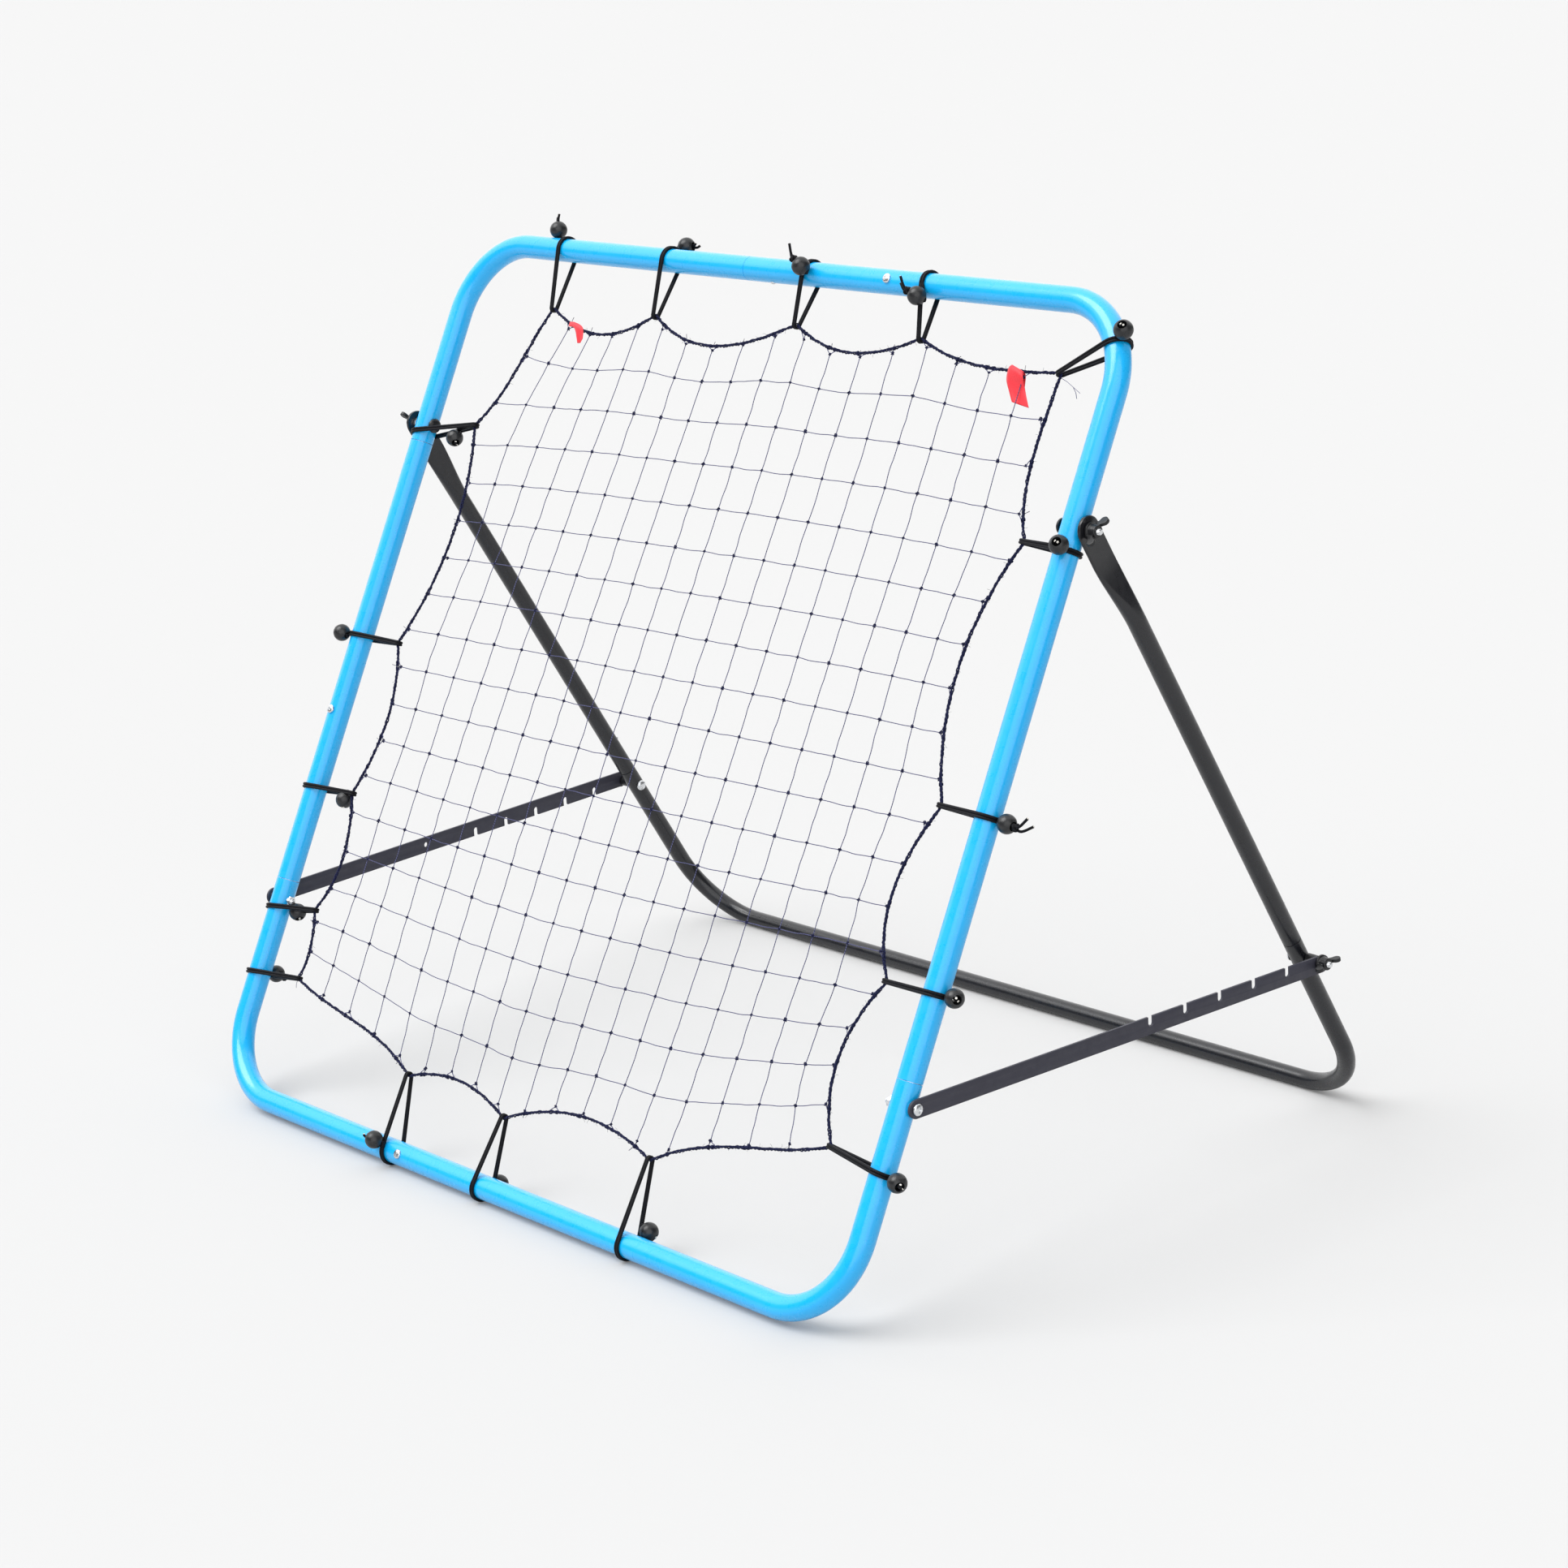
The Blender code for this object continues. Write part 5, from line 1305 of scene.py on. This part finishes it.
ball_shape = ball_mesh()
end_knot = overhand_knot(0.0034, CORD_R, 40, 10)
LONG_TAIL = 0.010                    # a longer tail has a knot in it
core_spots, core_aims = [], []
for name, hook, crossing, ball, square, mouth, tails in ties:
    loops = [tie_loop(hook, crossing, square, shift) for shift in (-CORD_R, CORD_R)]
    centre = frame_spot(*ball)
    aim = (mouth.x * SIDEWAYS + mouth.y * UP + mouth.z * FRONT).normalized()
    aside = aim.cross(LEG_BACK).normalized()
    tail_runs = []
    for loop, sign, tail in zip(loops, (-1, 1), tails):
        near = min(loop, key=lambda p: (p - centre).length)
        gap = aside * sign * CORD_R * 0.95
        end = BALL_R - 0.0012 + tail
        bend = aside * sign * tail * 0.2
        run = [near, centre - aim * BALL_R + gap * 0.8, centre + gap,
               centre + aim * (BALL_R - 0.002) + gap]
        if tail > 0.002:
            run.append(centre + aim * (BALL_R + tail * 0.4) + gap * 1.2 + bend * 0.3)
        run.append(centre + aim * end + gap * 1.3 + bend + UP * tail * 0.5)
        tail_runs.append(smooth_run(run, 5))
        core_spots.append(tail_runs[-1][-1])
        core_aims.append((tail_runs[-1][-1] - tail_runs[-1][-2]).normalized())
    strings = [shape_of(cords("loops", loops, CORD_R, 0.0016, 10, ELASTIC, closed=True)),
               shape_of(cords("ends", tail_runs, CORD_R * 0.94, 0.0016, 10, ELASTIC))]
    turn = aim.to_track_quat("Z", "Y").to_matrix().to_4x4()
    if max(tails) > LONG_TAIL:
        knot_place = Matrix.Translation(centre + aim * (BALL_R + 0.0015)) @ turn
        strings.append(placed(end_knot, knot_place))
    tie = add_object("elastic_tie_" + name, joined(strings, 180), ELASTIC)
    settle(tie, "frame", "bungee_tie_" + name)
    fit("tie_ball_" + name, ball_shape, Matrix.Translation(centre) @ turn, BALL_PLASTIC, "frame")

core_shape = turned([(0, -0.0006), (0.00115, -0.0006), (0.00115, 0.0002), (0, 0.0005)], 12)
settle(scatter("cut_cord_cores", core_shape, core_spots, core_aims, RUBBER_CORE), "frame")

# %% [markdown]
# ## The red tags
# Two scraps of red ribbon are tied over the border rope. A ribbon is a strip of points bent over
# the rope and given its thickness with Solidify.

# %% Fold the ribbons
def ribbon(name, rows, thickness=0.0004, across=8):
    """A strip through rows of (left, right) points, each (x, v, n)."""
    left, right = [smooth_run([frame_spot(*row[k]) for row in rows], 6) for k in (0, 1)]
    verts = []
    for i, (a, b) in enumerate(zip(left, right)):
        for j in range(across + 1):
            s = j / across
            curl = math.sin(s * math.pi) * 0.0016 * math.sin(i / len(left) * 5)
            verts.append(tuple(a.lerp(b, s) + FRONT * curl))
    wide = across + 1
    faces = [(i * wide + j, i * wide + j + 1, (i + 1) * wide + j + 1, (i + 1) * wide + j)
             for i in range(len(left) - 1) for j in range(across)]
    mesh = bpy.data.meshes.new(name)
    mesh.from_pydata(verts, [], faces)
    obj = add_object(name, tidy(mesh), TAG_RED)
    modify(obj, "SOLIDIFY", thickness=thickness)
    settle(harden(obj), "frame")


ribbon("red_tag_large", [
    ((0.353, 0.890, -0.005), (0.373, 0.886, -0.005)),
    ((0.353, 0.902, -0.003), (0.372, 0.897, -0.003)),
    ((0.3545, 0.9065, 0.001), (0.372, 0.901, 0.001)),
    ((0.353, 0.902, 0.0035), (0.374, 0.895, 0.003)),
    ((0.3523, 0.8914, 0.001), (0.3767, 0.885, -0.0015)),
    ((0.358, 0.881, -0.001), (0.382, 0.876, -0.002)),
    ((0.3644, 0.8715, -0.002), (0.3867, 0.868, -0.003)),
])
ribbon("red_tag_small", [
    ((-0.297, 0.8965, 0.002), (-0.297, 0.8915, 0.002)),
    ((-0.287, 0.8965, 0.003), (-0.287, 0.8905, 0.003)),
    ((-0.272, 0.8920, 0.0035), (-0.281, 0.8860, 0.0035)),
    ((-0.2675, 0.8810, 0.003), (-0.279, 0.8825, 0.003)),
    ((-0.270, 0.8760, 0.002), (-0.2745, 0.8745, 0.002)),
])

# %% [markdown]
# ## The snap buttons
# Each leg carries a small spring button a little above the seam of its tubes. It is turned
# steel, so a short profile is enough.

# %% Snap buttons on the legs
BUTTON_A = 0.497
button = turned([(0, -0.002), (0.0026, -0.002), (0.0026, 0.0006), (0.0022, 0.0014),
                 (0.0012, 0.0019), (0, 0.0020)], 32)
spots = [leg_spot(sx * LEG_X, BUTTON_A, LEG_TUBE_R) for sx in SIDES.values()]
settle(scatter("leg_snap_buttons", button, spots, [LEG_BACK] * 2, ZINC), "leg")

# %% [markdown]
# ## What stays as the model made it
# The inner sleeves at the seams are hidden in the tubes. Their shape is right as it is, so they
# only get the zinc finish.

# %% Finish the sleeves
for name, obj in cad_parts.items():
    if "sleeve" in name:
        obj.data.materials.clear()
        obj.data.materials.append(ZINC)

# %% [markdown]
# ## Floor, light and camera
# The object stands on a plain pale floor. One soft lamp shines from above and in front, and the
# room has two round softboxes: a large one overhead and behind, which gives the tubes their bright
# upper band, and a smaller one beside the camera. The floor adds a little light of its own for the
# camera only, so that it reads as white and still shows the object's soft shadow.

# %% The floor
FLOOR_HALF = 40.0
FLOOR_GLOW = 0.10
floor = add_object("floor", bpy.data.meshes.new("floor"))
floor.data.from_pydata([(sx * FLOOR_HALF, sy * FLOOR_HALF, 0)
                        for sx, sy in ((-1, -1), (1, -1), (1, 1), (-1, 1))], [], [(0, 1, 2, 3)])
FLOOR_PAINT, tree, shader = new_material("matt_white_floor")
feed(shader, {"Base Color": linear("#BBBBBB"), "Roughness": 0.9, "Specular IOR Level": 0.0})
seen = add(tree, "ShaderNodeLightPath").outputs["Is Camera Ray"]
glow = add(tree, "ShaderNodeEmission", {"Strength": maths(tree, "MULTIPLY", seen, FLOOR_GLOW)})
both = add(tree, "ShaderNodeAddShader", {0: shader.outputs[0], 1: glow.outputs[0]})
feed(tree.nodes["Material Output"], {"Surface": both.outputs[0]})
floor.data.materials.append(FLOOR_PAINT)

# %% The room and the lamps
ROOM_LIGHT = 0.16
BOX_EDGE = 0.03             # how softly a softbox ends
world = bpy.data.worlds.new("white_room")
world.use_nodes = True
bpy.context.scene.world = world
room = world.node_tree
room.nodes.clear()
seen = add(room, "ShaderNodeLightPath").outputs["Is Camera Ray"]
direction = add(room, "ShaderNodeTexCoord").outputs["Generated"]


def softbox(towards, size, strength):
    """A round light in the wall of the room: how much it adds in each direction."""
    along = vectors(room, "DOT_PRODUCT", direction, tuple(Vector(towards).normalized()))
    edge = math.cos(math.radians(size))
    inside = add(room, "ShaderNodeMapRange", {"Value": along, "From Min": edge - BOX_EDGE,
                                              "From Max": edge + BOX_EDGE},
                 interpolation_type="SMOOTHSTEP")
    return maths(room, "MULTIPLY", inside.outputs["Result"], strength)


boxes = maths(room, "ADD", softbox((-0.5, 0.35, 0.79), 63, 1.1),
              softbox((0.72, -0.60, 0.37), 36, 1.5))
shade, white = [add(room, "ShaderNodeBackground", {"Color": (1, 1, 1, 1), "Strength": strength})
                for strength in (maths(room, "ADD", boxes, ROOM_LIGHT), 1.0)]
choice = add(room, "ShaderNodeMixShader", {0: seen, 1: shade.outputs[0], 2: white.outputs[0]})
add(room, "ShaderNodeOutputWorld", {"Surface": choice.outputs[0]})


def sun(name, from_direction, softness, strength):
    """Even light over the whole floor. Its softness is the angle of the sky that it fills."""
    light = bpy.data.lights.new(name, "SUN")
    light.angle = math.radians(softness)
    light.energy = strength
    obj = bpy.data.objects.new(name, light)
    obj.rotation_euler = Vector(from_direction).to_track_quat("Z", "Y").to_euler()
    bpy.context.scene.collection.objects.link(obj)


sun("overhead_lamp", (-0.30, -0.45, 0.85), 45, 2.3)

# %% The camera
CAMERA_AZIMUTH = math.radians(48.287)
CAMERA_ELEVATION = math.radians(16.867)
CAMERA_ROLL = math.radians(-4.041)
CAMERA_TARGET = Vector((0.24996, -0.16568, 0.44186))
CAMERA_DISTANCE = 3.3880
PICTURE_SIDE = 1932         # pixels
FOCAL_PIXELS = 4376.5
SENSOR = 36.0               # millimetres

back = Vector((math.sin(CAMERA_AZIMUTH) * math.cos(CAMERA_ELEVATION),
               -math.cos(CAMERA_AZIMUTH) * math.cos(CAMERA_ELEVATION),
               math.sin(CAMERA_ELEVATION)))
right = Vector((0, 0, 1)).cross(back).normalized()
above = back.cross(right)
picture_right = math.cos(CAMERA_ROLL) * right + math.sin(CAMERA_ROLL) * above
picture_up = math.cos(CAMERA_ROLL) * above - math.sin(CAMERA_ROLL) * right
lens = bpy.data.cameras.new("camera")
lens.sensor_width = SENSOR
lens.lens = SENSOR * FOCAL_PIXELS / PICTURE_SIDE
lens.clip_start = 0.05
lens.clip_end = 60
camera = bpy.data.objects.new("camera", lens)
bpy.context.scene.collection.objects.link(camera)
turn = Matrix((picture_right, picture_up, back)).transposed().to_4x4()
camera.matrix_world = Matrix.Translation(CAMERA_TARGET + back * CAMERA_DISTANCE) @ turn
bpy.context.scene.camera = camera
bpy.context.scene.view_settings.view_transform = "Standard"
print(f"lens {lens.lens:.2f} mm")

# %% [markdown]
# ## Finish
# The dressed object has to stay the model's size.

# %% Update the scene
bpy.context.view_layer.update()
